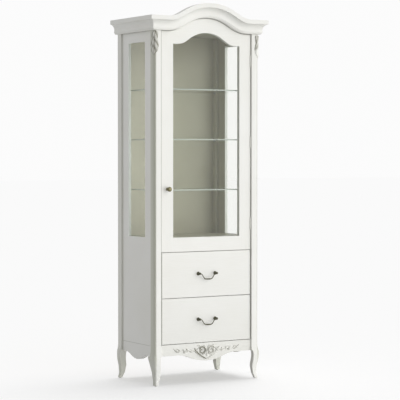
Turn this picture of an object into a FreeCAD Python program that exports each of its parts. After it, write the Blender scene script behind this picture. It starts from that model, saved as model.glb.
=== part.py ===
import FreeCAD, Part
import math
import os

from FreeCAD import Vector

# Overall sizes in millimetres
CARCASS_W = 640.0
CARCASS_D = 410.0
FLAT_TOP_Z = 1925.0
ARCH_RISE = 75.0
ARCH_FLAT = 25.5
ARCH_CROWN_SHARE = 0.52
ARCH_FOOT_SHARE = 0.44

# Heights of the front divisions
DRAWER_BASE_Z = 212.0
DRAWER_PITCH = 241.5
GAP = 2.4
SIDE_GAP = 2.5
DRAWER_FLOOR_GAP = 6.0

# Posts and legs
POST_W = 42.0
POST_D = 46.0
POST_ROUND = 12.0
POST_ARRIS = 2.0
KNEE_H = 34.0
KNEE_OUT = 7.5
GLIDE_H = 3.0
GLIDE_R = 6.0
# Knee rows: height share, out share
KNEE_ROWS_SHARES = ((1.0, 0.0), (0.5, 0.22), (0.0, 0.73))
# Leg rows: height share, side share of the post width, its depth share on a front leg, out share of the knee,
# and the share that is cut across the inner corner of a front leg
LEG_ROWS_SHARES = (
    (1.0, 1.0, 1.71, 0.73, 0.68),
    (0.955, 0.985, 1.67, 0.89, 0.68),
    (0.85, 0.95, 1.48, 0.95, 0.63),
    (0.64, 0.9, 1.09, 0.6, 0.42),
    (0.42, 0.82, 0.82, -0.2, 0.3),
    (0.25, 0.7, 0.68, -0.35, 0.28),
    (0.115, 0.58, 0.56, -0.3, 0.25),
    (0.04, 0.53, 0.53, 0.0, 0.25),
    (0.0, 0.55, 0.55, 0.15, 0.25),
)

# Boards and panels
FRONT_SETBACK = 8.0
SIDE_SETBACK = 8.0
PANEL_T = 16.0
PANEL_TONGUE = 8.0
BOARD_T = 18.0
BACK_T = 6.0
BACK_SETBACK = 6.0
BACK_TONGUE = 8.0
CAP_T = 18.0

# Aprons
APRON_T = 18.0
APRON_END_H = 58.5
APRON_FLAT = 98.0
APRON_DROP = 37.0
SIDE_APRON_FLAT = 41.0
SIDE_APRON_DROP = 30.0
APRON_CROWN_SHARE = 0.58
APRON_FOOT_SHARE = 0.38
REAR_APRON_H = 44.0
TENON_L = 12.0
TENON_T = 8.0
TENON_H = 30.0
TENON_SHOULDER = 10.0

# Cornice
CORNICE_H = 75.0
OVERHANG = 40.0
FASCIA_H = 22.0
COVE_STEP = 4.0
COVE_IN = 17.0
COVE_BASE = 15.0
COVE_SAG = 6.0
BEAD_REACH = 14.0
BEAD_IN = 7.0
BEAD_H = 9.0
ARCHED_RAIL_H = 55.0
HEADER_H = 60.0
HEADER_T = 18.0

# Door
DOOR_T = 22.0
DOOR_BACK_GAP = 1.5
STILE_W = 71.0
BOTTOM_RAIL_H = 75.5
TOP_RAIL_H = 64.0
SIGHT_FLAT = 28.5
SIGHT_RISE = 63.0
SIGHT_CROWN_SHARE = 0.64
SIGHT_FOOT_SHARE = 0.33
DOOR_LIP = 8.0
DOOR_EDGE_R = 1.5
DOOR_TENON_L = 36.0

# Glazing
GLASS_T = 4.0
REBATE = 8.0
GLASS_MARGIN = 1.0
BEAD_FIT = 0.2
SIDE_LIP = 6.0
SIDE_STILE_W = 71.0
SIDE_TOP_RAIL_H = 53.0

# Display space
FLOOR_STEP = 2.0
FLOOR_T = 20.0
CROSS_RAIL_H = 45.0
CROSS_RAIL_T = 20.0
SHELF_T = 6.0
SHELF_SIDE_GAP = 2.0
SHELF_FRONT_GAP = 3.5
SHELF_BACK_GAP = 2.0
SHELF_SHARES = (0.234, 0.48, 0.724)
PIN_R = 2.5
PIN_OUT = 10.0
PIN_IN = 10.0
PIN_COLLAR_R = 4.0
PIN_COLLAR_T = 1.5
PIN_FIT = 0.1
PIN_INSET = 8.0

# Hinges
HINGE_L = 64.0
HINGE_SHARES = (0.1, 0.5, 0.9)
LEAF_T = 1.0
LEAF_BACK = 2.0
KNUCKLE_R = 2.6
KNUCKLE_CLEAR = 0.3
KNUCKLE_SHARES = (0.0, 0.34, 0.66, 1.0)
HINGE_PIN_R = 1.3
HINGE_PIN_FIT = 0.05
PIN_CAP_H = 1.2

# Knob and catch
KNOB_SHARE = 0.286
KNOB_REACH = 31.0
KNOB_HEAD_R = 13.0
KNOB_NECK_R = 5.0
KNOB_FOOT_R = 8.5
KNOB_FOOT_T = 2.5
KNOB_CROWN = 5.0
KNOB_BORE_L = 13.0
SCREW_R = 2.0
SCREW_FIT = 0.1
SCREW_HEAD_R = 4.0
SCREW_HEAD_T = 2.5
CATCH_R = 5.0
CATCH_L = 12.0
CATCH_FIT = 0.05
CATCH_RISE = 13.0
CATCH_SPAN_SHARE = 0.5
PLATE_R = 6.5
PLATE_T = 0.9

# Drawers
DRAWER_FRONT_T = 20.0
DRAWER_EDGE_R = 2.5
DRAWER_SIDE_CLEAR = 10.0
DRAWER_BOARD_T = 12.0
DRAWER_TOP_GAP = 32.5
DRAWER_BOX_LIFT = 20.0
DRAWER_REAR_GAP = 14.0
DRAWER_BOTTOM_T = 6.0
DRAWER_BOTTOM_LIFT = 10.0
DRAWER_GROOVE = 5.0
RUNNER_T = 12.0
RUNNER_LEDGE = 14.0
RUNNER_GUIDE_H = 34.0
RUNNER_FIT = 0.5
DRAWER_RAIL_H = 16.0
DRAWER_RAIL_D = 40.0
DRAWER_RAIL_GAP = 1.0

# Bail handles
HANDLE_SPAN = 104.0
HANDLE_LIFT = 4.0
ROSE_R = 10.0
ROSE_T = 3.0
NECK_R = 4.2
BALL_R = 6.5
BALL_REACH = 18.0
STUD_R = 2.0
NUT_R = 4.5
NUT_T = 3.5
BAIL_R = 2.3
BAIL_FIT = 0.08
BAIL_DROP = 29.0
BAIL_SHOULDER = 10.5
BAIL_LEAN = 19.0
BAIL_TOP_BEND = 7.0
BAIL_LOW_BEND = 12.0
BAIL_PIN_IN = 1.0

# Carvings
CARVING_END_GAP = 73.0
CARVING_H = 68.0
CARVING_T = 6.0
CARVING_MID_DROP = 40.0
ROSETTE_R = 17.0
# Leaf rows: start along, start up, end along, end up, width share
LEAF_ROWS_SHARES = (
    (0.02, 0.06, 0.42, 0.1, 0.34),
    (0.1, 0.1, 0.46, 0.42, 0.2),
    (0.08, 0.0, 0.42, -0.26, 0.2),
    (0.34, 0.09, 0.72, 0.2, 0.26),
    (0.42, 0.12, 0.72, 0.44, 0.15),
    (0.42, 0.1, 0.68, -0.06, 0.15),
    (0.62, 0.17, 1.0, 0.24, 0.18),
)
DROP_LEAF_SHARES = (0.0, 0.1, 0.0, -0.5, 0.34)
POST_CARVING_L = 124.0
POST_CARVING_GAP = 4.0
POST_CARVING_TOP_W = 30.0
POST_CARVING_MAX_W = 42.0
POST_CARVING_MAX_SHARE = 0.62
POST_CARVING_T = 6.0

# Back panel screws
BACK_SCREW_R = 1.6
BACK_SCREW_L = 24.0
BACK_SCREW_HEAD_R = 3.6
BACK_SCREW_HEAD_T = 1.8
BACK_SCREW_SHARES = (-0.75, 0.0, 0.75)

# Every cutter runs past the faces that it opens by this much
OVERRUN = 5.0

# Places worked out from the sizes
HALF_W = CARCASS_W / 2
FRONT_Y = -(CARCASS_D - OVERHANG) / 2
REAR_Y = FRONT_Y + CARCASS_D
MID_Y = (FRONT_Y + REAR_Y) / 2
POST_IN_X = HALF_W - POST_W
POST_BACK_Y = FRONT_Y + POST_D
REAR_POST_Y = REAR_Y - POST_D
FACE_Y = FRONT_Y + FRONT_SETBACK
PANEL_OUT_X = HALF_W - SIDE_SETBACK
PANEL_IN_X = PANEL_OUT_X - PANEL_T
APRON_IN_X = PANEL_OUT_X - APRON_T
CORNICE_Z = FLAT_TOP_Z - CORNICE_H
POST_TOP_Z = FLAT_TOP_Z - CAP_T
BACK_OUT_Y = REAR_Y - BACK_SETBACK
BACK_IN_Y = BACK_OUT_Y - BACK_T
PANEL_BASE_Z = DRAWER_BASE_Z - DRAWER_FLOOR_GAP
BOTTOM_Z = PANEL_BASE_Z - BOARD_T
CEILING_Z = CORNICE_Z
CEILING_TOP_Z = CEILING_Z + BOARD_T
APRON_TOP_Z = DRAWER_BASE_Z - GAP / 2
KNEE_BASE_Z = APRON_TOP_Z - APRON_END_H
KNEE_TOP_Z = KNEE_BASE_Z + KNEE_H
DOOR_BASE_Z = DRAWER_BASE_Z + 2 * DRAWER_PITCH
DOOR_LOW_Z = DOOR_BASE_Z + GAP / 2
DOOR_TOP_Z = CORNICE_Z - GAP
DOOR_HALF = POST_IN_X - SIDE_GAP
ARCH_HALF_SPAN = DOOR_HALF - ARCH_FLAT
DOOR_BACK_Y = FACE_Y + DOOR_T
STOP_Y = DOOR_BACK_Y + DOOR_BACK_GAP
HEADER_BACK_Y = STOP_Y + HEADER_T
SIGHT_HALF = DOOR_HALF - STILE_W
SIGHT_HALF_SPAN = SIGHT_HALF - SIGHT_FLAT
SIGHT_LOW_Z = DOOR_LOW_Z + BOTTOM_RAIL_H
SIGHT_TOP_Z = DOOR_TOP_Z - TOP_RAIL_H
FLOOR_Z = SIGHT_LOW_Z - FLOOR_STEP
DOOR_GLASS_Y = FACE_Y + DOOR_LIP
DOOR_BEAD_Y = DOOR_GLASS_Y + GLASS_T
SIDE_SIGHT_HALF = (CARCASS_D - 2 * POST_D) / 2 - SIDE_STILE_W
SIDE_SIGHT_TOP_Z = CORNICE_Z - SIDE_TOP_RAIL_H
SIDE_GLASS_X = PANEL_OUT_X - SIDE_LIP
SIDE_BEAD_X = SIDE_GLASS_X - GLASS_T
DISPLAY_H = CEILING_Z - FLOOR_Z
SHELF_HALF = POST_IN_X - SHELF_SIDE_GAP
SHELF_FRONT_Y = DOOR_BACK_Y + SHELF_FRONT_GAP
SHELF_BACK_Y = BACK_IN_Y - SHELF_BACK_GAP
AXIS_X = POST_IN_X - KNUCKLE_R - KNUCKLE_CLEAR
AXIS_Y = FACE_Y - KNUCKLE_R - KNUCKLE_CLEAR
DOOR_H = DOOR_TOP_Z - DOOR_LOW_Z
KNOB_X = -(DOOR_HALF - STILE_W / 2)
KNOB_Z = DOOR_LOW_Z + KNOB_SHARE * DOOR_H
CATCH_X = -CATCH_SPAN_SHARE * ARCH_HALF_SPAN
CATCH_Z = CEILING_Z + CATCH_RISE
DRAWER_FRONT_H = DRAWER_PITCH - GAP
DRAWER_BOX_H = DRAWER_FRONT_H - DRAWER_BOX_LIFT - DRAWER_TOP_GAP
DRAWER_BACK_Y = FACE_Y + DRAWER_FRONT_T
DRAWER_HALF = POST_IN_X - DRAWER_SIDE_CLEAR
DRAWER_IN_HALF = DRAWER_HALF - DRAWER_BOARD_T
DRAWER_END_Y = BACK_IN_Y - DRAWER_REAR_GAP
BALL_Y = FACE_Y - BALL_REACH
BAIL_TOP_W = HANDLE_SPAN - 2 * BAIL_SHOULDER
BAIL_FLAT = BAIL_TOP_W - 2 * BAIL_LEAN
APRON_HALF_SPAN = POST_IN_X - APRON_FLAT
SIDE_APRON_END = (CARCASS_D - 2 * POST_D) / 2
SIDE_APRON_HALF_SPAN = SIDE_APRON_END - SIDE_APRON_FLAT
CARVING_HALF_L = POST_IN_X - CARVING_END_GAP
CARVING_Z = APRON_TOP_Z - CARVING_MID_DROP


def box(xa, xb, ya, yb, za, zb):
    """Box between two corners given in any order."""
    low = Vector(min(xa, xb), min(ya, yb), min(za, zb))
    return Part.makeBox(abs(xb - xa), abs(yb - ya), abs(zb - za), low)


def line(a, b):
    """Straight edge from a to b."""
    return Part.LineSegment(a, b).toShape()


def arc(a, b, c):
    """Round edge from a through b to c."""
    return Part.Arc(a, b, c).toShape()


def rod(radius, start, end):
    """Round bar between two points."""
    way = end.sub(start)
    return Part.makeCylinder(radius, way.Length, start, way)


def prism(edges, way):
    """Solid made by pushing a closed flat outline along way."""
    return Part.Face(Part.Wire(edges)).extrude(way)


def turned(points, origin):
    """Solid of revolution about a line along Y: each point is a radius and a Y offset."""
    corners = [Vector(origin.x + r, origin.y + y, origin.z) for r, y in points]
    face = Part.Face(Part.makePolygon(corners + corners[:1]))
    return face.revolve(origin, Vector(0, 1, 0), 360)


def fused(shapes):
    """One solid from touching shapes."""
    return shapes[0].multiFuse(shapes[1:]).removeSplitter()


def group(shapes):
    """Separate solids kept in one node."""
    return Part.makeCompound(shapes)


def flipped(shape):
    """Mirror image across the middle of the width."""
    return shape.mirror(Vector(0, 0, 0), Vector(1, 0, 0))


class Ogee:
    """Flat, hollow, straight, crown, straight, hollow, flat: all tangent to each other."""

    def __init__(self, half_span, rise, crown_share, foot_share):
        span = (half_span ** 2 + rise ** 2) / (2 * rise)
        self.half_span = half_span
        self.rise = rise
        self.crown = crown_share * span
        self.foot = foot_share * span
        across = math.hypot(half_span, self.crown + self.foot - rise)
        lean = math.atan2(half_span, self.crown + self.foot - rise)
        self.slope = lean - math.acos((self.crown + self.foot) / across)

    def edges(self, place, reach, base, up=1, offset=0):
        """Edges from -reach to reach; up is -1 for a hanging curve, offset moves it outwards."""
        crown = self.crown + offset
        foot = self.foot - offset
        crown_mid = self.rise - self.crown
        top = (crown * math.sin(self.slope), crown_mid + crown * math.cos(self.slope))
        low = (
            self.half_span - foot * math.sin(self.slope),
            self.foot - foot * math.cos(self.slope),
        )
        bend = (
            self.half_span - foot * math.sin(self.slope / 2),
            self.foot - foot * math.cos(self.slope / 2),
        )

        def at(s, v):
            return place(s, base + up * v)

        left_out = at(-reach, offset)
        left_in = at(-self.half_span, offset)
        right_in = at(self.half_span, offset)
        right_out = at(reach, offset)
        return [
            line(left_out, left_in),
            arc(left_in, at(-bend[0], bend[1]), at(-low[0], low[1])),
            line(at(-low[0], low[1]), at(-top[0], top[1])),
            arc(at(-top[0], top[1]), at(0, self.rise + offset), at(*top)),
            line(at(*top), at(*low)),
            arc(at(*low), at(*bend), right_in),
            line(right_in, right_out),
        ]


ARCH = Ogee(ARCH_HALF_SPAN, ARCH_RISE, ARCH_CROWN_SHARE, ARCH_FOOT_SHARE)
SIGHT = Ogee(SIGHT_HALF_SPAN, SIGHT_RISE, SIGHT_CROWN_SHARE, SIGHT_FOOT_SHARE)


def across(y):
    """Place for curves drawn in a front plane at y."""
    return lambda s, z: Vector(s, y, z)


def along(x):
    """Place for curves drawn in a side plane at x."""
    return lambda s, z: Vector(x, MID_Y + s, z)


def under_curve(curve, place, reach, base, low, way, up=1, offset=0):
    """Board whose far edge is a curve and whose near edge is straight at low."""
    edges = curve.edges(place, reach, base, up, offset)
    start = edges[0].Vertexes[0].Point
    end = edges[-1].Vertexes[-1].Point
    near_start = place(-reach, low)
    near_end = place(reach, low)
    edges += [line(end, near_end), line(near_end, near_start), line(near_start, start)]
    return prism(edges, way)


def ring(x_in, x_out, y_in, y_out, r_out, r_in, z):
    """Rectangle with rounded corners at height z; the outer corner has its own radius."""
    mid_x = (x_in + x_out) / 2
    mid_y = (y_in + y_out) / 2
    arcs = []
    for quarter, (ax, ay) in enumerate(((1, 1), (-1, 1), (-1, -1), (1, -1))):
        outer = ax * (x_out - x_in) > 0 and ay * (y_out - y_in) > 0
        r = r_out if outer else r_in
        cx = mid_x + ax * (abs(x_out - x_in) / 2 - r)
        cy = mid_y + ay * (abs(y_out - y_in) / 2 - r)
        turns = [math.radians(90 * quarter + step) for step in (0, 45, 90)]
        arcs.append([Vector(cx + r * math.cos(t), cy + r * math.sin(t), z) for t in turns])
    edges = []
    for here, after in zip(arcs, arcs[1:] + arcs[:1]):
        edges.append(arc(*here))
        edges.append(line(here[2], after[0]))
    return Part.Wire(edges)


def corner_bend(before, here, after, bend):
    """Start, middle and end of a round bend at a corner."""
    to_before = before.sub(here).normalize()
    to_after = after.sub(here).normalize()
    half = math.acos(to_before.dot(to_after)) / 2
    back = bend / math.tan(half)
    inwards = to_before.add(to_after).normalize()
    return (
        here.add(Vector(to_before).multiply(back)),
        here.add(inwards.multiply(bend / math.sin(half) - bend)),
        here.add(Vector(to_after).multiply(back)),
    )


def leg_ring(x_in, x_out, y_in, y_out, cut_share, z):
    """Front leg's section at height z: a rounded rectangle that is cut across its inner corner."""
    places = (
        (x_out, y_out), (x_in, y_out), (x_in, y_in + cut_share * (y_out - y_in)),
        (x_in + cut_share * (x_out - x_in), y_in), (x_out, y_in),
    )
    corners = [Vector(x, y, z) for x, y in places]
    rounds = [POST_ROUND] + [POST_ARRIS] * (len(corners) - 1)
    bends = [
        corner_bend(before, here, after, r)
        for before, here, after, r in zip(
            corners[-1:] + corners[:-1], corners, corners[1:] + corners[:1], rounds
        )
    ]
    edges = []
    for bend, after in zip(bends, bends[1:] + bends[:1]):
        edges += [arc(*bend), line(bend[2], after[0])]
    return Part.Wire(edges)


def post(sx, sy):
    """Corner post with its leg, before any joint is cut in it."""
    y_face = FRONT_Y if sy < 0 else REAR_Y
    y_in = y_face - sy * POST_D

    def outward(out_share):
        out = KNEE_OUT * out_share
        return out, out if sy < 0 else min(out, 0)

    body = Part.Face(
        ring(sx * POST_IN_X, sx * HALF_W, y_in, y_face, POST_ROUND, POST_ARRIS, KNEE_TOP_Z)
    ).extrude(Vector(0, 0, POST_TOP_Z - KNEE_TOP_Z))
    knee = []
    for high, out_share in KNEE_ROWS_SHARES:
        out_x, out_y = outward(out_share)
        knee.append(ring(
            sx * POST_IN_X, sx * (HALF_W + out_x), y_in, y_face + sy * out_y,
            POST_ROUND, POST_ARRIS, KNEE_BASE_Z + high * KNEE_H,
        ))
    leg = []
    for high, side_share, deep_share, out_share, cut_share in LEG_ROWS_SHARES:
        out_x, out_y = outward(out_share)
        side = side_share * POST_W
        x_out = HALF_W + out_x
        y_out = y_face + sy * out_y
        z = GLIDE_H + high * (KNEE_BASE_Z - GLIDE_H)
        if sy < 0:
            deep = deep_share * POST_W
            row = leg_ring(sx * (x_out - side), sx * x_out, y_out + deep, y_out, cut_share, z)
        else:
            row = ring(
                sx * (x_out - side), sx * x_out, y_out - side, y_out, POST_ROUND, POST_ARRIS, z
            )
        leg.append(row)
    return fused([body, Part.makeLoft(knee, True, False), Part.makeLoft(leg, True, False)])


def foot_glide(sx, sy):
    """Round glide under the middle of a foot."""
    _, side_share, _, out_share, _ = LEG_ROWS_SHARES[-1]
    inset = POST_W * side_share / 2 - KNEE_OUT * out_share
    y_face = FRONT_Y if sy < 0 else REAR_Y
    foot = Vector(sx * (HALF_W - inset), y_face - sy * inset, 0)
    return rod(GLIDE_R, foot, foot.add(Vector(0, 0, GLIDE_H)))


def panel_groove(sx, sy):
    """Groove in a post for the edge of a side panel."""
    y_edge = POST_BACK_Y if sy < 0 else REAR_POST_Y
    return box(
        sx * PANEL_IN_X, sx * PANEL_OUT_X, y_edge + sy * PANEL_TONGUE, y_edge - sy * OVERRUN,
        PANEL_BASE_Z, POST_TOP_Z + OVERRUN,
    )


def front_tenon(y_face, z_top):
    """Bar through both ends of a rail between the left and right posts."""
    y_low = y_face + (APRON_T - TENON_T) / 2
    reach = POST_IN_X + TENON_L
    z_high = z_top - TENON_SHOULDER
    return box(-reach, reach, y_low, y_low + TENON_T, z_high - TENON_H, z_high)


def side_tenon(sx):
    """Bar through both ends of a side apron."""
    x_out = PANEL_OUT_X - (APRON_T - TENON_T) / 2
    z_high = PANEL_BASE_Z - TENON_SHOULDER
    return box(
        sx * x_out, sx * (x_out - TENON_T), POST_BACK_Y - TENON_L, REAR_POST_Y + TENON_L,
        z_high - TENON_H, z_high,
    )


def shelf_tops():
    """Heights of the shelves' upper faces, lowest first."""
    return [FLOOR_Z + share * DISPLAY_H for share in SHELF_SHARES]


def pin_places(sx):
    """Middle of each shelf pin where it leaves a post on this side."""
    places = []
    for top in shelf_tops():
        for y in (POST_BACK_Y - PIN_INSET, REAR_POST_Y + PIN_INSET):
            places.append(Vector(sx * POST_IN_X, y, top - SHELF_T - PIN_R))
    return places


def shelf_pin(sx, place):
    """Pin with a collar that sits on the face of the post."""
    inner = place.add(Vector(sx * PIN_IN, 0, 0))
    tip = place.sub(Vector(sx * PIN_OUT, 0, 0))
    collar = place.sub(Vector(sx * PIN_COLLAR_T, 0, 0))
    return fused([rod(PIN_R, inner, tip), rod(PIN_COLLAR_R, place, collar)])


def pin_hole(sx, place):
    """Bore for a shelf pin."""
    inner = place.add(Vector(sx * (PIN_IN + PIN_FIT), 0, 0))
    return rod(PIN_R + PIN_FIT, inner, place.sub(Vector(sx * OVERRUN, 0, 0)))


REAR_APRON_Y = BACK_IN_Y - APRON_T
FRONT_TENON = front_tenon(FACE_Y, APRON_TOP_Z)
REAR_TENON = front_tenon(REAR_APRON_Y, BOTTOM_Z)


def posts_and_feet():
    """Four posts with every groove, mortise and bore, and the glides."""
    back_groove = POST_IN_X + BACK_TONGUE
    made = {}
    for sx, side in ((-1, "left"), (1, "right")):
        for sy, end in ((-1, "front"), (1, "rear")):
            y_face = FRONT_Y if sy < 0 else REAR_Y
            cutters = [panel_groove(sx, sy), side_tenon(sx)]
            cutters.append(FRONT_TENON if sy < 0 else REAR_TENON)
            cutters += [pin_hole(sx, p) for p in pin_places(sx) if abs(p.y - y_face) < POST_D]
            if sy > 0:
                cutters.append(box(
                    sx * (POST_IN_X - OVERRUN), sx * back_groove, BACK_IN_Y, BACK_OUT_Y,
                    BOTTOM_Z, POST_TOP_Z + OVERRUN,
                ))
            made[f"{end}_{side}_post"] = post(sx, sy).cut(cutters)
    made["foot_glides"] = group([foot_glide(sx, sy) for sx in (-1, 1) for sy in (-1, 1)])
    return made


def side_panel(sx):
    """Side panel with a rebated window."""
    panel = box(
        sx * PANEL_IN_X, sx * PANEL_OUT_X, POST_BACK_Y - PANEL_TONGUE, REAR_POST_Y + PANEL_TONGUE,
        PANEL_BASE_Z, POST_TOP_Z,
    )
    window = box(
        sx * (PANEL_IN_X - OVERRUN), sx * (PANEL_OUT_X + OVERRUN),
        MID_Y - SIDE_SIGHT_HALF, MID_Y + SIDE_SIGHT_HALF, SIGHT_LOW_Z, SIDE_SIGHT_TOP_Z,
    )
    rebate = box(
        sx * (PANEL_IN_X - OVERRUN), sx * SIDE_GLASS_X,
        MID_Y - SIDE_SIGHT_HALF - REBATE, MID_Y + SIDE_SIGHT_HALF + REBATE,
        SIGHT_LOW_Z - REBATE, SIDE_SIGHT_TOP_Z + REBATE,
    )
    return panel.cut([window, rebate])


def side_glass(sx):
    """Pane that lies in the rebate of a side panel."""
    edge = REBATE - GLASS_MARGIN
    return box(
        sx * SIDE_BEAD_X, sx * SIDE_GLASS_X, MID_Y - SIDE_SIGHT_HALF - edge,
        MID_Y + SIDE_SIGHT_HALF + edge, SIGHT_LOW_Z - edge, SIDE_SIGHT_TOP_Z + edge,
    )


def side_beads(sx):
    """Four strips that hold a side pane in from inside."""
    edge = REBATE - BEAD_FIT
    y_low = MID_Y - SIDE_SIGHT_HALF
    y_high = MID_Y + SIDE_SIGHT_HALF
    z_low = SIGHT_LOW_Z - edge
    z_high = SIDE_SIGHT_TOP_Z + edge
    spans = (
        (y_low - edge, y_low, z_low, z_high),
        (y_high, y_high + edge, z_low, z_high),
        (y_low + BEAD_FIT, y_high - BEAD_FIT, z_low, SIGHT_LOW_Z),
        (y_low + BEAD_FIT, y_high - BEAD_FIT, SIDE_SIGHT_TOP_Z, z_high),
    )
    return [box(sx * PANEL_IN_X, sx * SIDE_BEAD_X, *span) for span in spans]


def sides():
    """Side panels, their panes and beads, and the side aprons."""
    made = {}
    curve = Ogee(SIDE_APRON_HALF_SPAN, SIDE_APRON_DROP, APRON_CROWN_SHARE, APRON_FOOT_SHARE)
    for sx, side in ((-1, "left"), (1, "right")):
        made[f"{side}_side_panel"] = side_panel(sx)
        made[f"{side}_side_glass"] = side_glass(sx)
        apron = under_curve(
            curve, along(sx * PANEL_OUT_X), SIDE_APRON_END, KNEE_BASE_Z, PANEL_BASE_Z,
            Vector(-sx * APRON_T, 0, 0), up=-1,
        )
        made[f"{side}_side_apron"] = fused([apron, side_tenon(sx)])
    made["side_glass_beads"] = group(side_beads(-1) + side_beads(1))
    return made


def leaf(row, half_l, high, mid_z, y, way):
    """Pointed leaf between two places, pushed along way."""
    start_s, start_v, end_s, end_v, wide = row
    a = Vector(half_l * start_s, y, mid_z + high * start_v)
    b = Vector(half_l * end_s, y, mid_z + high * end_v)
    run = b.sub(a)
    side = Vector(-run.z, 0, run.x)
    side.normalize()
    middle = a.add(b).multiply(1 / 2)
    bulge = side.multiply(high * wide / 2)
    return prism([arc(a, middle.add(bulge), b), arc(b, middle.sub(bulge), a)], way)


def apron_carving():
    """Spray of leaves to both sides of a rosette, on the face of the front apron."""
    way = Vector(0, -CARVING_T, 0)
    half = [leaf(row, CARVING_HALF_L, CARVING_H, CARVING_Z, FACE_Y, way) for row in LEAF_ROWS_SHARES]
    middle = Vector(0, FACE_Y, CARVING_Z)
    rosette = rod(ROSETTE_R, middle, middle.add(way))
    drop = leaf(DROP_LEAF_SHARES, CARVING_HALF_L, CARVING_H, CARVING_Z, FACE_Y, way)
    return fused([rosette, drop] + half + [flipped(one) for one in half])


def post_carving(sx):
    """Leaf that wraps the outer corner of a front post under the cornice."""
    top = CORNICE_Z - POST_CARVING_GAP
    low = top - POST_CARVING_L
    t = POST_CARVING_T
    outer = Part.Face(ring(
        sx * POST_IN_X, sx * (HALF_W + t), POST_BACK_Y, FRONT_Y - t, POST_ROUND + t, POST_ARRIS, low,
    )).extrude(Vector(0, 0, POST_CARVING_L))
    inner = Part.Face(ring(
        sx * (POST_IN_X - OVERRUN), sx * HALF_W, POST_BACK_Y + OVERRUN, FRONT_Y,
        POST_ROUND, POST_ARRIS, low - OVERRUN,
    )).extrude(Vector(0, 0, POST_CARVING_L + 2 * OVERRUN))
    out = Vector(sx, -1, 0)
    out.normalize()
    tangent = Vector(-out.y, out.x, 0)
    corner = Vector(sx * HALF_W, FRONT_Y, 0).add(Vector(out).multiply(t))

    def at(s, z):
        return corner.add(Vector(tangent).multiply(s)).add(Vector(0, 0, z))

    wide_z = top - POST_CARVING_MAX_SHARE * POST_CARVING_L
    half_top = POST_CARVING_TOP_W / 2
    half_max = POST_CARVING_MAX_W / 2
    outline = [
        line(at(-half_top, top), at(half_top, top)),
        arc(at(half_top, top), at(half_max, wide_z), at(0, low)),
        arc(at(0, low), at(-half_max, wide_z), at(-half_top, top)),
    ]
    blank = prism(outline, Vector(out).multiply(-POST_D))
    return outer.cut(inner).common(blank)


def front_and_carvings():
    """Front and rear aprons and the carved pieces."""
    curve = Ogee(APRON_HALF_SPAN, APRON_DROP, APRON_CROWN_SHARE, APRON_FOOT_SHARE)
    apron = under_curve(
        curve, across(FACE_Y), POST_IN_X, KNEE_BASE_Z, APRON_TOP_Z, Vector(0, APRON_T, 0), up=-1
    )
    rear = box(
        -POST_IN_X, POST_IN_X, REAR_APRON_Y, BACK_IN_Y, BOTTOM_Z - REAR_APRON_H, BOTTOM_Z
    )
    return {
        "front_apron": fused([apron, FRONT_TENON]),
        "rear_apron": fused([rear, REAR_TENON]),
        "apron_carving": apron_carving(),
        "post_carvings": group([post_carving(-1), post_carving(1)]),
    }


def notched_board(half, y_low, y_high, z_low, z_high):
    """Board from side to side of the cabinet, notched round the posts."""
    board = box(-half, half, y_low, y_high, z_low, z_high)
    notches = []
    for sx in (-1, 1):
        for ya, yb in ((FRONT_Y, POST_BACK_Y), (REAR_POST_Y, REAR_Y)):
            notches.append(box(
                sx * POST_IN_X, sx * (HALF_W + OVERRUN), ya, yb, z_low - OVERRUN, z_high + OVERRUN
            ))
    return board.cut(notches)


def back_screw_places():
    """Middle of each screw head seat on the back panel."""
    rows = (PANEL_BASE_Z - BOARD_T / 2, FLOOR_Z - FLOOR_T / 2, CEILING_Z + BOARD_T / 2)
    return [Vector(s * POST_IN_X, BACK_OUT_Y, z) for z in rows for s in BACK_SCREW_SHARES]


def back_screw(place):
    """Screw through the back panel into the edge of a board."""
    head = rod(BACK_SCREW_HEAD_R, place, place.add(Vector(0, BACK_SCREW_HEAD_T, 0)))
    return fused([head, rod(BACK_SCREW_R, place.sub(Vector(0, BACK_SCREW_L, 0)), place)])


def back_screw_hole(place):
    """Bore for a back panel screw."""
    start = place.sub(Vector(0, BACK_SCREW_L + SCREW_FIT, 0))
    return rod(BACK_SCREW_R + SCREW_FIT, start, place.add(Vector(0, OVERRUN, 0)))


def boards():
    """Back panel, floor, ceiling, bottom board, inner rails and the top cap."""
    holes = [back_screw_hole(place) for place in back_screw_places()]
    back_half = POST_IN_X + BACK_TONGUE
    back = box(-back_half, back_half, BACK_IN_Y, BACK_OUT_Y, BOTTOM_Z, POST_TOP_Z)
    floor = notched_board(PANEL_IN_X, STOP_Y, BACK_IN_Y, FLOOR_Z - FLOOR_T, FLOOR_Z)
    ceiling = notched_board(PANEL_IN_X, HEADER_BACK_Y, BACK_IN_Y, CEILING_Z, CEILING_TOP_Z)
    bottom = notched_board(APRON_IN_X, FACE_Y + APRON_T, BACK_IN_Y, BOTTOM_Z, PANEL_BASE_Z)
    rail_z = FLOOR_Z - FLOOR_T
    split_z = DRAWER_BASE_Z + DRAWER_PITCH
    rail_y = DRAWER_BACK_Y + DRAWER_RAIL_GAP
    cap = box(-HALF_W, HALF_W, FRONT_Y, REAR_Y, POST_TOP_Z, FLAT_TOP_Z)
    bay = box(
        -POST_IN_X, POST_IN_X, FRONT_Y - OVERRUN, HEADER_BACK_Y,
        POST_TOP_Z - OVERRUN, FLAT_TOP_Z + OVERRUN,
    )
    return {
        "back_panel": back.cut(holes),
        "back_panel_screws": group([back_screw(place) for place in back_screw_places()]),
        "display_floor": floor.cut(holes),
        "ceiling_board": ceiling.cut(holes),
        "bottom_board": bottom.cut(holes),
        "cross_rail": box(
            -POST_IN_X, POST_IN_X, STOP_Y, STOP_Y + CROSS_RAIL_T, rail_z - CROSS_RAIL_H, rail_z
        ),
        "drawer_rail": box(
            -POST_IN_X, POST_IN_X, rail_y, rail_y + DRAWER_RAIL_D,
            split_z - DRAWER_RAIL_H / 2, split_z + DRAWER_RAIL_H / 2,
        ),
        "top_cap": cap.cut(bay),
    }


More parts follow.
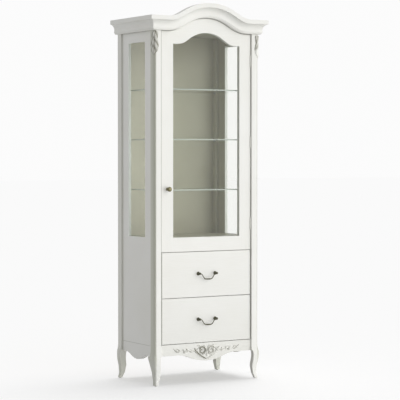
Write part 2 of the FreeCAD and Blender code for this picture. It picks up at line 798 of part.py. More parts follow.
def cornice_profile(place):
    """Closed outline of the cornice: place takes the reach outwards and the height."""
    top = CORNICE_H - FASCIA_H
    cove_out = OVERHANG - COVE_STEP
    middle_out = (COVE_IN + cove_out) / 2 - COVE_SAG
    middle_up = (COVE_BASE + top) / 2 + COVE_SAG
    bead_mid = (BEAD_REACH + BEAD_IN) / 2 + (BEAD_REACH - BEAD_IN) / 4
    corners = {
        "back_low": place(0, 0),
        "bead_low": place(BEAD_IN, 0),
        "bead_top": place(BEAD_REACH, BEAD_H),
        "fillet": place(COVE_IN, BEAD_H),
        "cove_low": place(COVE_IN, COVE_BASE),
        "cove_top": place(cove_out, top),
        "fascia_low": place(OVERHANG, top),
        "fascia_top": place(OVERHANG, CORNICE_H),
        "back_top": place(0, CORNICE_H),
    }
    return Part.Wire([
        line(corners["back_low"], corners["bead_low"]),
        arc(corners["bead_low"], place(bead_mid, BEAD_H / 3), corners["bead_top"]),
        line(corners["bead_top"], corners["fillet"]),
        line(corners["fillet"], corners["cove_low"]),
        arc(corners["cove_low"], place(middle_out, middle_up), corners["cove_top"]),
        line(corners["cove_top"], corners["fascia_low"]),
        line(corners["fascia_low"], corners["fascia_top"]),
        line(corners["fascia_top"], corners["back_top"]),
        line(corners["back_top"], corners["back_low"]),
    ])


def mitre_wedge(sx, on_side):
    """Waste beyond the mitre line of a cornice corner, on the side or the front of it."""
    far = OVERHANG + OVERRUN
    inner = Vector(sx * (HALF_W - OVERRUN), FRONT_Y + OVERRUN, CORNICE_Z - OVERRUN)
    outer = Vector(sx * (HALF_W + far), FRONT_Y - far, CORNICE_Z - OVERRUN)
    third = Vector(outer.x, inner.y, inner.z) if on_side else Vector(inner.x, outer.y, inner.z)
    edges = [line(inner, outer), line(outer, third), line(third, inner)]
    return prism(edges, Vector(0, 0, CORNICE_H + 2 * OVERRUN))


def cornice_side(sx):
    """Straight return of the cornice, mitred at the front."""
    start = FRONT_Y - OVERHANG
    wire = cornice_profile(lambda u, v: Vector(sx * (HALF_W + u), start, CORNICE_Z + v))
    length = Part.Face(wire).extrude(Vector(0, REAR_Y - start, 0))
    return length.cut(mitre_wedge(sx, False))


def cornice():
    """Cornice lengths, the arched rail and header behind them, and the packings."""
    reach = HALF_W + OVERHANG
    path = Part.Wire(ARCH.edges(across(FRONT_Y), reach, CORNICE_Z))
    wire = cornice_profile(lambda u, v: Vector(-reach, FRONT_Y - u, CORNICE_Z + v))
    front = path.makePipeShell([wire], True, False)
    front = front.cut([mitre_wedge(-1, True), mitre_wedge(1, True)])
    low = ARCH.edges(across(FRONT_Y), POST_IN_X, CORNICE_Z)
    high = ARCH.edges(across(FRONT_Y), POST_IN_X, CORNICE_Z + ARCHED_RAIL_H)
    ends = [
        line(Vector(s * POST_IN_X, FRONT_Y, CORNICE_Z),
             Vector(s * POST_IN_X, FRONT_Y, CORNICE_Z + ARCHED_RAIL_H))
        for s in (-1, 1)
    ]
    rail = Part.Face(Part.Wire(Part.__sortEdges__(low + high + ends)))
    header = under_curve(
        ARCH, across(STOP_Y), POST_IN_X, CORNICE_Z + HEADER_H, CEILING_Z, Vector(0, HEADER_T, 0)
    )
    bore = rod(
        CATCH_R + CATCH_FIT, Vector(CATCH_X, STOP_Y - OVERRUN, CATCH_Z),
        Vector(CATCH_X, STOP_Y + CATCH_L + CATCH_FIT, CATCH_Z),
    )
    packings = [
        box(sx * PANEL_OUT_X, sx * HALF_W, POST_BACK_Y, REAR_POST_Y, CORNICE_Z, POST_TOP_Z)
        for sx in (-1, 1)
    ]
    return {
        "cornice_front": front,
        "cornice_left": cornice_side(-1),
        "cornice_right": cornice_side(1),
        "cornice_packings": group(packings),
        "arched_rail": rail.extrude(Vector(0, STOP_Y - FRONT_Y, 0)),
        "header_board": header.cut(bore),
        "catch_magnet": rod(
            CATCH_R, Vector(CATCH_X, STOP_Y, CATCH_Z), Vector(CATCH_X, STOP_Y + CATCH_L, CATCH_Z)
        ),
    }


def shelves():
    """Glass shelves and the pins that carry them."""
    made = {}
    for name, top in zip(("lower", "middle", "upper"), shelf_tops()):
        made[f"{name}_shelf"] = box(
            -SHELF_HALF, SHELF_HALF, SHELF_FRONT_Y, SHELF_BACK_Y, top - SHELF_T, top
        )
    made["shelf_pins"] = group([shelf_pin(sx, p) for sx in (-1, 1) for p in pin_places(sx)])
    return made


def hinge_rows():
    """Low end of each hinge."""
    return [DOOR_LOW_Z + share * (DOOR_H - HINGE_L) for share in HINGE_SHARES]


def hinge_leaf(low, x_face, turns, on_door):
    """Leaf on x_face with knuckles at the given turns of the barrel, bored for the pin."""
    x_far = x_face + LEAF_T if on_door else x_face - LEAF_T
    y_front = FACE_Y + KNUCKLE_CLEAR
    plate = box(x_face, x_far, y_front, DOOR_BACK_Y - LEAF_BACK, low, low + HINGE_L)
    pieces = [plate]
    bores = []
    for turn in turns:
        z_low = low + KNUCKLE_SHARES[turn] * HINGE_L
        z_high = low + KNUCKLE_SHARES[turn + 1] * HINGE_L
        if on_door:
            z_low += KNUCKLE_CLEAR
            z_high -= KNUCKLE_CLEAR
        foot = Vector(AXIS_X, AXIS_Y, z_low)
        head = Vector(AXIS_X, AXIS_Y, z_high)
        pieces.append(rod(KNUCKLE_R, foot, head))
        pieces.append(box(x_face, x_far, AXIS_Y, y_front, z_low, z_high))
        past = Vector(0, 0, OVERRUN)
        bores.append(rod(HINGE_PIN_R + HINGE_PIN_FIT, foot.sub(past), head.add(past)))
    return fused(pieces).cut(bores)


def hinge_pin(low):
    """Pin through the barrel, with a cap on top."""
    foot = Vector(AXIS_X, AXIS_Y, low)
    head = Vector(AXIS_X, AXIS_Y, low + HINGE_L)
    cap = rod(KNUCKLE_R, head, head.add(Vector(0, 0, PIN_CAP_H)))
    return fused([rod(HINGE_PIN_R, foot, head), cap])


def hinges():
    """Leaves and pins of the hinges."""
    rows = hinge_rows()
    return {
        "post_hinge_leaves": group([hinge_leaf(z, POST_IN_X, (0, 2), False) for z in rows]),
        "door_hinge_leaves": group([hinge_leaf(z, DOOR_HALF, (1,), True) for z in rows]),
        "hinge_pins": group([hinge_pin(z) for z in rows]),
    }


def sight_board(offset, y, thick):
    """Board the shape of the door's glass opening, larger all round by offset."""
    return under_curve(
        SIGHT, across(y), SIGHT_HALF + offset, SIGHT_TOP_Z, SIGHT_LOW_Z - offset,
        Vector(0, thick, 0), offset=offset,
    )


def door():
    """Frame, pane, beads, knob and strike plate of the door."""
    blank = under_curve(ARCH, across(FACE_Y), DOOR_HALF, DOOR_TOP_Z, DOOR_LOW_Z, Vector(0, DOOR_T, 0))
    opening = sight_board(0, FACE_Y - OVERRUN, DOOR_T + 2 * OVERRUN)
    rebate = sight_board(REBATE, DOOR_GLASS_Y, DOOR_T)
    frame = blank.cut([opening, rebate])
    front_edges = [e for e in frame.Edges if e.BoundBox.YMax < FACE_Y + DOOR_LIP / 2]
    frame = frame.makeFillet(DOOR_EDGE_R, front_edges)
    y_low = FACE_Y - OVERRUN
    y_high = DOOR_BACK_Y + OVERRUN
    z_low = DOOR_LOW_Z - OVERRUN
    z_high = DOOR_TOP_Z + ARCH_RISE + OVERRUN
    past = DOOR_HALF + OVERRUN
    left = frame.common(box(-past, -SIGHT_HALF, y_low, y_high, z_low, z_high))
    right = frame.common(box(SIGHT_HALF, past, y_low, y_high, z_low, z_high))
    top = frame.common(box(-SIGHT_HALF, SIGHT_HALF, y_low, y_high, SIGHT_TOP_Z, z_high))
    bottom = frame.common(box(-SIGHT_HALF, SIGHT_HALF, y_low, y_high, z_low, SIGHT_LOW_Z))
    reach = SIGHT_HALF + DOOR_TENON_L
    tenon_y = (FACE_Y + DOOR_BACK_Y - TENON_T) / 2
    low_tenon_z = DOOR_LOW_Z + TENON_SHOULDER
    high_tenon_z = DOOR_TOP_Z - TENON_SHOULDER
    low_tenon = box(
        -reach, reach, tenon_y, tenon_y + TENON_T, low_tenon_z, low_tenon_z + TENON_H
    )
    high_tenon = box(
        -reach, reach, tenon_y, tenon_y + TENON_T, high_tenon_z - TENON_H, high_tenon_z
    )
    ends = [
        box(-reach, -SIGHT_HALF, y_low, y_high, z_low, z_high),
        box(SIGHT_HALF, reach, y_low, y_high, z_low, z_high),
    ]
    low_ends = [low_tenon.common(end) for end in ends]
    high_ends = [high_tenon.common(end) for end in ends]
    knob_seat = Vector(KNOB_X, FACE_Y, KNOB_Z)
    screw_way = rod(
        SCREW_R + SCREW_FIT, knob_seat.sub(Vector(0, OVERRUN, 0)),
        knob_seat.add(Vector(0, DOOR_T + OVERRUN, 0)),
    )
    head_y = DOOR_BACK_Y - SCREW_HEAD_T
    head_way = rod(
        SCREW_HEAD_R + SCREW_FIT, Vector(KNOB_X, head_y, KNOB_Z), Vector(KNOB_X, y_high, KNOB_Z)
    )
    bead_t = DOOR_BACK_Y - DOOR_BEAD_Y
    bead_edge = REBATE - BEAD_FIT
    strip = sight_board(bead_edge, DOOR_BEAD_Y, bead_t).cut(opening)
    upright = SIGHT_HALF + REBATE
    bead_end = SIGHT_HALF - BEAD_FIT
    windows = (
        (-upright, -SIGHT_HALF, z_low, z_high),
        (SIGHT_HALF, upright, z_low, z_high),
        (-bead_end, bead_end, z_low, SIGHT_LOW_Z),
        (-bead_end, bead_end, SIGHT_TOP_Z, z_high),
    )
    beads = [
        strip.common(box(xa, xb, y_low, y_high, za, zb)).Solids[0] for xa, xb, za, zb in windows
    ]
    return {
        "door_left_stile": left.cut([low_tenon, high_tenon, screw_way, head_way]),
        "door_right_stile": right.cut([low_tenon, high_tenon]),
        "door_top_rail": fused([top] + high_ends),
        "door_bottom_rail": fused([bottom] + low_ends),
        "door_glass": sight_board(REBATE - GLASS_MARGIN, DOOR_GLASS_Y, GLASS_T),
        "door_glass_beads": group(beads),
        "door_knob": door_knob(knob_seat),
        "knob_screw": knob_screw(knob_seat),
        "catch_plate": rod(
            PLATE_R, Vector(CATCH_X, DOOR_BACK_Y, CATCH_Z),
            Vector(CATCH_X, DOOR_BACK_Y + PLATE_T, CATCH_Z),
        ),
    }


def door_knob(seat):
    """Turned knob with a blind bore for its screw."""
    shoulder = KNOB_REACH - KNOB_CROWN - KNOB_HEAD_R / 2
    points = (
        (0, 0), (KNOB_FOOT_R, 0), (KNOB_FOOT_R, -KNOB_FOOT_T), (KNOB_NECK_R, -2 * KNOB_FOOT_T),
        (KNOB_NECK_R, -shoulder + KNOB_FOOT_T), (KNOB_HEAD_R, -shoulder - KNOB_FOOT_T),
        (KNOB_HEAD_R, -KNOB_REACH + KNOB_CROWN), (KNOB_HEAD_R / 2, -KNOB_REACH),
        (0, -KNOB_REACH),
    )
    bore = rod(SCREW_R + SCREW_FIT, seat.sub(Vector(0, KNOB_BORE_L, 0)), seat.add(Vector(0, OVERRUN, 0)))
    return turned(points, seat).cut(bore)


def knob_screw(seat):
    """Screw from the back of the stile into the knob."""
    tip = seat.sub(Vector(0, KNOB_BORE_L - SCREW_FIT, 0))
    end = seat.add(Vector(0, DOOR_T, 0))
    head = rod(SCREW_HEAD_R, end.sub(Vector(0, SCREW_HEAD_T, 0)), end)
    return fused([rod(SCREW_R, tip, end), head])


def handle_places(low):
    """Seat of each handle post on a drawer front."""
    z = low + DRAWER_FRONT_H / 2 + HANDLE_LIFT
    return [Vector(s * HANDLE_SPAN / 2, FACE_Y, z) for s in (-1, 1)]


def handle_post(seat):
    """Rose, neck and ball with a stud behind, bored across for the bail."""
    rose = rod(ROSE_R, seat, seat.sub(Vector(0, ROSE_T, 0)))
    ball_mid = seat.sub(Vector(0, BALL_REACH, 0))
    neck = rod(NECK_R, seat, ball_mid)
    ball = Part.makeSphere(BALL_R, ball_mid)
    stud = rod(STUD_R, seat, seat.add(Vector(0, DRAWER_FRONT_T + NUT_T, 0)))
    inward = -1 if seat.x > 0 else 1
    start = ball_mid.sub(Vector(inward * (BAIL_PIN_IN + BAIL_FIT), 0, 0))
    bore = rod(BAIL_R + BAIL_FIT, start, ball_mid.add(Vector(inward * (BALL_R + OVERRUN), 0, 0)))
    return fused([rose, neck, ball, stud]).cut(bore)


def handle_nut(seat):
    """Nut on the stud behind a drawer front."""
    face = seat.add(Vector(0, DRAWER_FRONT_T, 0))
    end = face.add(Vector(0, NUT_T, 0))
    return rod(NUT_R, face, end).cut(rod(STUD_R + SCREW_FIT, face, end))


def rounded_path(points, bends):
    """Wire through points with a round bend at every inner one."""
    edges = []
    last = points[0]
    for before, here, after, bend in zip(points, points[1:], points[2:], bends):
        start, middle, end = corner_bend(before, here, after, bend)
        edges += [line(last, start), arc(start, middle, end)]
        last = end
    edges.append(line(last, points[-1]))
    return Part.Wire(edges)


def bail(low):
    """Round wire that hangs between the two handle posts."""
    left, right = handle_places(low)
    z = left.z
    pin = HANDLE_SPAN / 2 + BAIL_PIN_IN
    sketch = (
        (-pin, 0), (-BAIL_TOP_W / 2, 0), (-BAIL_FLAT / 2, -BAIL_DROP),
        (BAIL_FLAT / 2, -BAIL_DROP), (BAIL_TOP_W / 2, 0), (pin, 0),
    )
    points = [Vector(x, BALL_Y, z + v) for x, v in sketch]
    bends = (BAIL_TOP_BEND, BAIL_LOW_BEND, BAIL_LOW_BEND, BAIL_TOP_BEND)
    path = rounded_path(points, bends)
    section = Part.Wire(Part.makeCircle(BAIL_R, points[0], Vector(1, 0, 0)))
    return path.makePipeShell([section], True, False)


def drawer(name, low):
    """One drawer with its handle posts, and the bail that swings in them."""
    front = box(-DOOR_HALF, DOOR_HALF, FACE_Y, DRAWER_BACK_Y, low, low + DRAWER_FRONT_H)
    rim = [e for e in front.Edges if e.BoundBox.YMax < FACE_Y + DRAWER_FRONT_T / 2]
    front = front.makeFillet(DRAWER_EDGE_R, rim)
    box_low = low + DRAWER_BOX_LIFT
    box_high = box_low + DRAWER_BOX_H
    floor_low = box_low + DRAWER_BOTTOM_LIFT
    floor_high = floor_low + DRAWER_BOTTOM_T
    rear_in = DRAWER_END_Y - DRAWER_BOARD_T
    floor_half = DRAWER_IN_HALF + DRAWER_GROOVE
    floor = box(
        -floor_half, floor_half, DRAWER_BACK_Y - DRAWER_GROOVE, rear_in + DRAWER_GROOVE,
        floor_low, floor_high,
    )
    side = box(DRAWER_IN_HALF, DRAWER_HALF, DRAWER_BACK_Y, DRAWER_END_Y, box_low, box_high).cut(floor)
    rear = box(-DRAWER_IN_HALF, DRAWER_IN_HALF, rear_in, DRAWER_END_Y, box_low, box_high)
    seats = handle_places(low)
    ways = [
        rod(STUD_R + SCREW_FIT, s.sub(Vector(0, OVERRUN, 0)), s.add(Vector(0, DRAWER_FRONT_T + OVERRUN, 0)))
        for s in seats
    ]
    fittings = [handle_post(s) for s in seats] + [handle_nut(s) for s in seats]
    return {
        f"{name}_drawer_front": front.cut([floor] + ways),
        f"{name}_drawer_sides": group([flipped(side), side]),
        f"{name}_drawer_back": rear.cut(floor),
        f"{name}_drawer_bottom": floor,
        f"{name}_handle_posts": group(fittings),
        f"{name}_bail": bail(low),
    }


def runner(sx, low):
    """Runner on a side panel: a ledge under the drawer side and a guide beside it."""
    ledge_top = low + DRAWER_BOX_LIFT
    ledge_low = ledge_top - RUNNER_T
    guide_x = DRAWER_HALF + RUNNER_FIT
    ledge = box(
        sx * (guide_x - RUNNER_LEDGE), sx * PANEL_IN_X, POST_BACK_Y, REAR_POST_Y, ledge_low, ledge_top
    )
    guide = box(
        sx * guide_x, sx * PANEL_IN_X, POST_BACK_Y, REAR_POST_Y, ledge_low, ledge_low + RUNNER_GUIDE_H
    )
    return fused([ledge, guide])


def drawers():
    """Both drawers, their bails and their runners."""
    made = {}
    runners = []
    for step, name in enumerate(("lower", "upper")):
        low = DRAWER_BASE_Z + step * DRAWER_PITCH + GAP / 2
        made.update(drawer(name, low))
        runners += [runner(-1, low), runner(1, low)]
    made["drawer_runners"] = group(runners)
    return made


def main():
    os.makedirs("parts", exist_ok=True)
    for make in (
        posts_and_feet, sides, front_and_carvings, boards, cornice, shelves, hinges, door, drawers
    ):
        for name, shape in make().items():
            shape.exportStep(os.path.join("parts", name + ".step"))
            low, high = shape.BoundBox.ZMin, shape.BoundBox.ZMax
            print(f"{name}: {len(shape.Solids)} solids, valid {shape.isValid()}, z {low:.1f} to {high:.1f}")


main()
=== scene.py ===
# %% [markdown]
# # A glass display cabinet in ivory lacquer
# The cabinet stands on short curved legs, with two drawers below a glazed door and a cornice that
# rises in a bell-shaped arch. Its boards, panes and fittings come from the drawing model as
# separate pieces that already sit in their places, in metres. This lesson dresses them: it gives
# every piece a finish, and makes the carvings and the turned metal fittings again as fine surfaces.

import math

import bpy
import numpy as np
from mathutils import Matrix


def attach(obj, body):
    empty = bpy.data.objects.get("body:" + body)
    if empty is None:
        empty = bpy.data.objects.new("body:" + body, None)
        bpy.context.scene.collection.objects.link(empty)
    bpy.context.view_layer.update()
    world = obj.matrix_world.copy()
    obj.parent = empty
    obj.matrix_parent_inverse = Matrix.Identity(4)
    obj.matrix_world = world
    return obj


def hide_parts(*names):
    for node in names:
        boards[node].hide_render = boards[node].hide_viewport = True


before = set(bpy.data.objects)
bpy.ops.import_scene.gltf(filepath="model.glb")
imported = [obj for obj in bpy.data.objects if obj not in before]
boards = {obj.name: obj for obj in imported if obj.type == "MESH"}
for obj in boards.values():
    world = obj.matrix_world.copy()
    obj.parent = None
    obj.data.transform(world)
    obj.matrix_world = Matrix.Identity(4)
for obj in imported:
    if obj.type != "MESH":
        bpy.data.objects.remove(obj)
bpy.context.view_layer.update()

# %% [markdown]
# ## Writing finishes as nodes
# A finish is a small network of nodes. Typing each node and each wire by hand is long, so short
# helpers do it: one starts a finish, one adds a node with its settings and wires, and one mixes two
# colours. Colours are written as the screen shows them, from 0 to 255, and turned into the linear
# values that the renderer counts with.

# %% Helpers that make nodes
def tone(red, green, blue):
    """Screen colour to linear light: c/12.92 below 0.04045, else ((c + 0.055) / 1.055) to the power
    2.4."""
    c = np.array([red, green, blue]) / 255
    linear = np.where(c < 0.04045, c / 12.92, ((c + 0.055) / 1.055) ** 2.4)
    return (*linear.tolist(), 1.0)


def start_finish(name):
    """New material that holds only an output and the surface shader wired to it."""
    finish = bpy.data.materials.new(name)
    finish.use_nodes = True
    tree = finish.node_tree
    tree.nodes.clear()
    out = tree.nodes.new("ShaderNodeOutputMaterial")
    surface = tree.nodes.new("ShaderNodeBsdfPrincipled")
    tree.links.new(surface.outputs["BSDF"], out.inputs["Surface"])
    return finish, tree, surface


def add(tree, kind, feeds=None, **settings):
    """One node: settings are its properties, feeds maps a socket to a value or to another node's
    output."""
    node = tree.nodes.new("ShaderNode" + kind)
    for key, value in settings.items():
        setattr(node, key, value)
    for socket, source in (feeds or {}).items():
        if isinstance(source, bpy.types.NodeSocket):
            tree.links.new(source, node.inputs[socket])
        else:
            node.inputs[socket].default_value = source
    return node


def mixed(tree, share, first, second):
    """Colour that goes from first to second as share goes from 0 to 1."""
    return add(tree, "Mix", {0: share, 6: first, 7: second}, data_type="RGBA").outputs[2]


print("helpers ready; ivory in linear light:", tone(240, 240, 235))

# %% [markdown]
# ## Places and numbers in a finish
# A finish also has to count: where a point lies on the piece, how far it is from an edge, and how
# much of a tone it gets. Every finish below is made from the same few steps, so they get helpers as
# well. The place is always the piece's own, so a finish stays with its piece when a drawer slides
# or the door turns.

# %% Helpers that count
def spread(tree, value, low, high, to_low=0.0, to_high=1.0):
    """Value between low and high stretched to a new range, and held at its ends outside it."""
    feeds = {0: value, 1: low, 2: high, 3: to_low, 4: to_high}
    return add(tree, "MapRange", feeds, clamp=True).outputs[0]


def calc(tree, operation, first, *others):
    """Math node on one value, or on several that are taken two at a time from the left."""
    if not others:
        return add(tree, "Math", {0: first}, operation=operation).outputs[0]
    for other in others:
        first = add(tree, "Math", {0: first, 1: other}, operation=operation).outputs[0]
    return first


def own_place(tree, stretch=(1, 1, 1)):
    """Point on the piece in metres, stretched along each axis."""
    place = add(tree, "TexCoord").outputs["Object"]
    return add(tree, "Mapping", {0: place, 3: stretch}).outputs[0]


def own_axes(tree):
    """How far right, back and up the point lies, and its distance from the cabinet's middle
    plane."""
    x, y, z = add(tree, "SeparateXYZ", {0: own_place(tree)}).outputs
    return x, y, z, calc(tree, "ABSOLUTE", x)


NOISE = (0.3, 0.7)


def cloud(tree, place, scale, detail=3.0, rough=0.55):
    """Soft noise between 0 and 1 around the point. Most of it lies within NOISE."""
    feeds = {"Vector": place, "Scale": scale, "Detail": detail, "Roughness": rough}
    return add(tree, "TexNoise", feeds).outputs[0]


def cover(tree, surface, colour, rough, height=None, strength=0.0, distance=0.0):
    """Wires colour and roughness into the surface shader, and a bump where a height is given."""
    tree.links.new(colour, surface.inputs["Base Color"])
    tree.links.new(rough, surface.inputs["Roughness"])
    if height is not None:
        bump = add(tree, "Bump", {"Strength": strength, "Distance": distance, "Height": height})
        tree.links.new(bump.outputs[0], surface.inputs["Normal"])


print("counting helpers ready")

# %% [markdown]
# ## Ivory lacquer
# The outside is wood sprayed and brushed with an ivory satin lacquer. Close up it isn't one flat
# colour: the film follows the grain of the board, so it carries faint long ridges, and its tone
# drifts a little over a metre. One noise, stretched along the grain, gives the ridges. A second,
# broad one gives the drift. Each board gets the version whose grain runs its own length.

# %% Ivory lacquer for each grain direction
GRAIN = {"upright": (1, 1, 0.035), "across": (0.035, 1, 1), "deep": (1, 0.035, 1)}
IVORY, IVORY_SHADE = tone(240, 240, 236), tone(229, 228, 220)
RIDGE_SCALE, DRIFT_SCALE = 420.0, 3.2
FILM_BUMP, FILM_DEPTH = 0.22, 0.0004


def grain_ridges(tree, grain):
    """Fine noise stretched along the grain."""
    return cloud(tree, own_place(tree, GRAIN[grain]), RIDGE_SCALE, 4.0, 0.6)


def drift(tree, most=1.0):
    """Broad noise that goes from 0 to most over the cabinet."""
    return spread(tree, cloud(tree, own_place(tree), DRIFT_SCALE, 2.0), *NOISE, 0.0, most)


def film_tone(tree, ridges, light=IVORY, shade=IVORY_SHADE):
    """From light towards shade: a share of up to 0.4 by the drift, and of up to 0.3 by the
    ridges."""
    share = calc(tree, "ADD", drift(tree, 0.4), spread(tree, ridges, 0.35, 0.7, 0.0, 0.3))
    return mixed(tree, share, light, shade)


def pored(tree, ridges):
    """Height of the film: the ridges, with their tops cut into by pores."""
    return calc(tree, "SUBTRACT", ridges, spread(tree, ridges, 0.62, 0.8))


def satin(tree, surface, colour, ridges, film):
    """Wires up a satin film: its colour, a gloss that follows the ridges, and a bump."""
    rough = spread(tree, ridges, *NOISE, 0.36, 0.48)
    cover(tree, surface, colour, rough, film, FILM_BUMP, FILM_DEPTH)


def lacquer(name, grain, light=IVORY, shade=IVORY_SHADE):
    """Satin lacquer between two tones, with ridges and pores along the grain."""
    finish, tree, surface = start_finish(name)
    ridges = grain_ridges(tree, grain)
    satin(tree, surface, film_tone(tree, ridges, light, shade), ridges, pored(tree, ridges))
    return finish


ivory = {grain: lacquer(f"ivory_lacquer_{grain}", grain) for grain in GRAIN}
print("ivory lacquers:", [finish.name for finish in ivory.values()])

# %% [markdown]
# ## Lacquer and painted shade on the drawers and the apron
# At each end of a drawer front a thin dark line is painted beside the post: painted shade of the
# gap between them. It is weaker on the right. The paint also turns a little darker towards the
# floor, as painted shade where less light reaches. Both could be painted on a texture. Here the
# point's own place says how much it gets: its distance from the middle plane gives the line, and
# its height gives the darker tone. The apron is low and narrow, so one darker lacquer, painted
# shade as well, does for it.

# %% Lacquer and painted shade for the drawer fronts and the apron
PAINTED_GAP_SHADE = tone(112, 112, 100)
DRAWER_END_X, LINE_START, LINE_FULL = 0.2755, 0.0042, 0.0022
RIGHT_SHARE, RIGHT_CHANGE_HALF = 0.3, 0.01
LOW_SHADE, LOW_SHADE_Z, MOST_LOW_SHADE = tone(216, 216, 210), (0.70, 0.20), 0.4


def less_on_right(tree, x):
    """Share of the painted shade line: 1 on the left half and less on the right, softly between."""
    return spread(tree, x, -RIGHT_CHANGE_HALF, RIGHT_CHANGE_HALF, 1.0, RIGHT_SHARE)


def drawer_lacquer(name):
    """Lacquer with its grain across, painted shade that darkens it towards the floor, and a line of
    painted shade before each end."""
    finish, tree, surface = start_finish(name)
    ridges = grain_ridges(tree, "across")
    x, _, z, away = own_axes(tree)
    # Painted shade: a darker tone towards the floor, and a dark line before each end by the post.
    paint = mixed(tree, spread(tree, z, *LOW_SHADE_Z, 0.0, MOST_LOW_SHADE), film_tone(tree, ridges), LOW_SHADE)
    end = spread(tree, away, DRAWER_END_X - LINE_START, DRAWER_END_X - LINE_FULL)
    colour = mixed(tree, calc(tree, "MULTIPLY", end, less_on_right(tree, x)), paint, PAINTED_GAP_SHADE)
    satin(tree, surface, colour, ridges, pored(tree, ridges))
    return finish


drawer_ivory_and_shade = drawer_lacquer("ivory_lacquer_and_shade_drawers")
# The apron's lacquer is darker than the ivory: painted shade low on the cabinet.
apron_shaded_ivory = lacquer("shaded_ivory_lacquer_apron", "across", tone(232, 232, 227), tone(221, 220, 212))
print("made", drawer_ivory_and_shade.name, "and", apron_shaded_ivory.name)

# %% [markdown]
# ## Lacquer and painted shade on the posts
# The front posts carry a grey painted shade on their outer sides, deepest at the corner itself. It
# could be painted by hand on a texture. Here the distance from the middle of the cabinet says how
# much of it a point gets, so it starts where the post turns round its corner. A line of painted
# shade also runs on the inner edge, for the shade of the gap next to the door and the drawers,
# thinner on the right post.

# %% Lacquer with painted shade for the posts
PAINTED_POST_SHADE, DEEP_POST_SHADE = tone(207, 208, 195), tone(184, 185, 171)
POST_SIDE_X, INNER_EDGE_X = 0.320, 0.279
SIDE_TURN_X = (POST_SIDE_X - 0.0105, POST_SIDE_X - 0.0055)
EDGE_LINE_X = (INNER_EDGE_X + 0.0012, INNER_EDGE_X + 0.0042)
INNER_SIDE_X = (INNER_EDGE_X - 0.0008, INNER_EDGE_X)
LEG_Z, BY_DOOR_Z, BY_DRAWER_Z = (0.10, 0.17), (0.699, 0.703), (0.2065, 0.2105)
CORNER_Y, CORNER_Z = (-0.152, -0.178), (0.25, 0.65)


def post_shade_lacquer(name):
    """Upright lacquer whose tone goes to a painted shade as the distance from the middle plane
    nears the post's side, with a line of painted shade along the edge beside door and drawers."""
    finish, tree, surface = start_finish(name)
    ridges = grain_ridges(tree, "upright")
    x, y, z, away = own_axes(tree)
    # Painted shade: a dark line on the inner edge, and grey on the turned side and the corner.
    line = calc(tree, "MULTIPLY", spread(tree, away, *EDGE_LINE_X, 1.0, 0.0),
                spread(tree, away, *INNER_SIDE_X, 0.5, 1.0), spread(tree, z, *BY_DOOR_Z, 1.0, 0.7),
                spread(tree, z, *BY_DRAWER_Z), less_on_right(tree, x))
    front = mixed(tree, line, film_tone(tree, ridges), PAINTED_GAP_SHADE)
    high, leg = spread(tree, z, *CORNER_Z, 0.55, 1.0), spread(tree, z, *LEG_Z, 0.6, 1.0)
    corner = calc(tree, "MULTIPLY", spread(tree, y, *CORNER_Y), high)
    side = calc(tree, "MULTIPLY", spread(tree, away, *SIDE_TURN_X), leg)
    colour = mixed(tree, side, front, mixed(tree, corner, PAINTED_POST_SHADE, DEEP_POST_SHADE))
    satin(tree, surface, colour, ridges, ridges)
    return finish


post_ivory_and_shade = post_shade_lacquer("ivory_lacquer_and_shade_posts")
print("made", post_ivory_and_shade.name)

# %% [markdown]
# ## Side panels with a joint line
# Below the drawers each side panel ends on the shaped apron, and the joint shows as a faint line in
# the paint. It is too fine to model, so the finish draws it: a narrow band at the joint's height
# gets darker and sinks a little. The same darker tone is painted in the corner beside the rear
# post, as painted shade of that corner. The face that looks into the display space is painted the
# cream of the inside, darkened as painted shade, and so are the rear posts where they show there.
# Outside, the rear posts get a grey painted shade, most of it on their legs.

# %% Lacquer with painted shade for the sides and the rear posts
# Cream paint darkened as painted shade of the closed inside; the second tone is its darker drift.
SHADED_CREAM, SHADED_CREAM_DARK = tone(178, 174, 153), tone(167, 162, 140)
JOINT_Z, JOINT_HALF, JOINT_FADE = 0.206, 0.0009, 0.0022
JOINT_DIRT_AND_CORNER_SHADE = tone(168, 167, 153)
REAR_POST_FRONT_Y = 0.179
INNER_FACE_X, REAR_IN_X = (0.297, 0.298), (0.2783, 0.2788)
REAR_LEG_Z = (0.10, 0.18)


def jointed_shaded_lacquer(name):
    """Upright lacquer with a band around the joint height, where the tone darkens and the film
    dips, with painted shade in the corner by the rear post and darkened cream on the inner face."""
    finish, tree, surface = start_finish(name)
    ridges = grain_ridges(tree, "upright")
    paint = mixed(tree, drift(tree, 0.5), IVORY, IVORY_SHADE)
    _, y, z, away = own_axes(tree)
    off = calc(tree, "ABSOLUTE", calc(tree, "SUBTRACT", z, JOINT_Z))
    line = spread(tree, off, JOINT_HALF, JOINT_FADE, 0.5, 0.0)
    # Painted shade in the corner beside the rear post, in the same darker tone as the joint.
    corner_shade = spread(tree, y, REAR_POST_FRONT_Y - 0.015, REAR_POST_FRONT_Y - 0.004, 0.0, 0.4)
    outside = mixed(tree, calc(tree, "MAXIMUM", line, corner_shade), paint, JOINT_DIRT_AND_CORNER_SHADE)
    colour = mixed(tree, spread(tree, away, *INNER_FACE_X, 1.0, 0.0), outside, SHADED_CREAM)
    satin(tree, surface, colour, ridges, calc(tree, "SUBTRACT", ridges, line))
    return finish


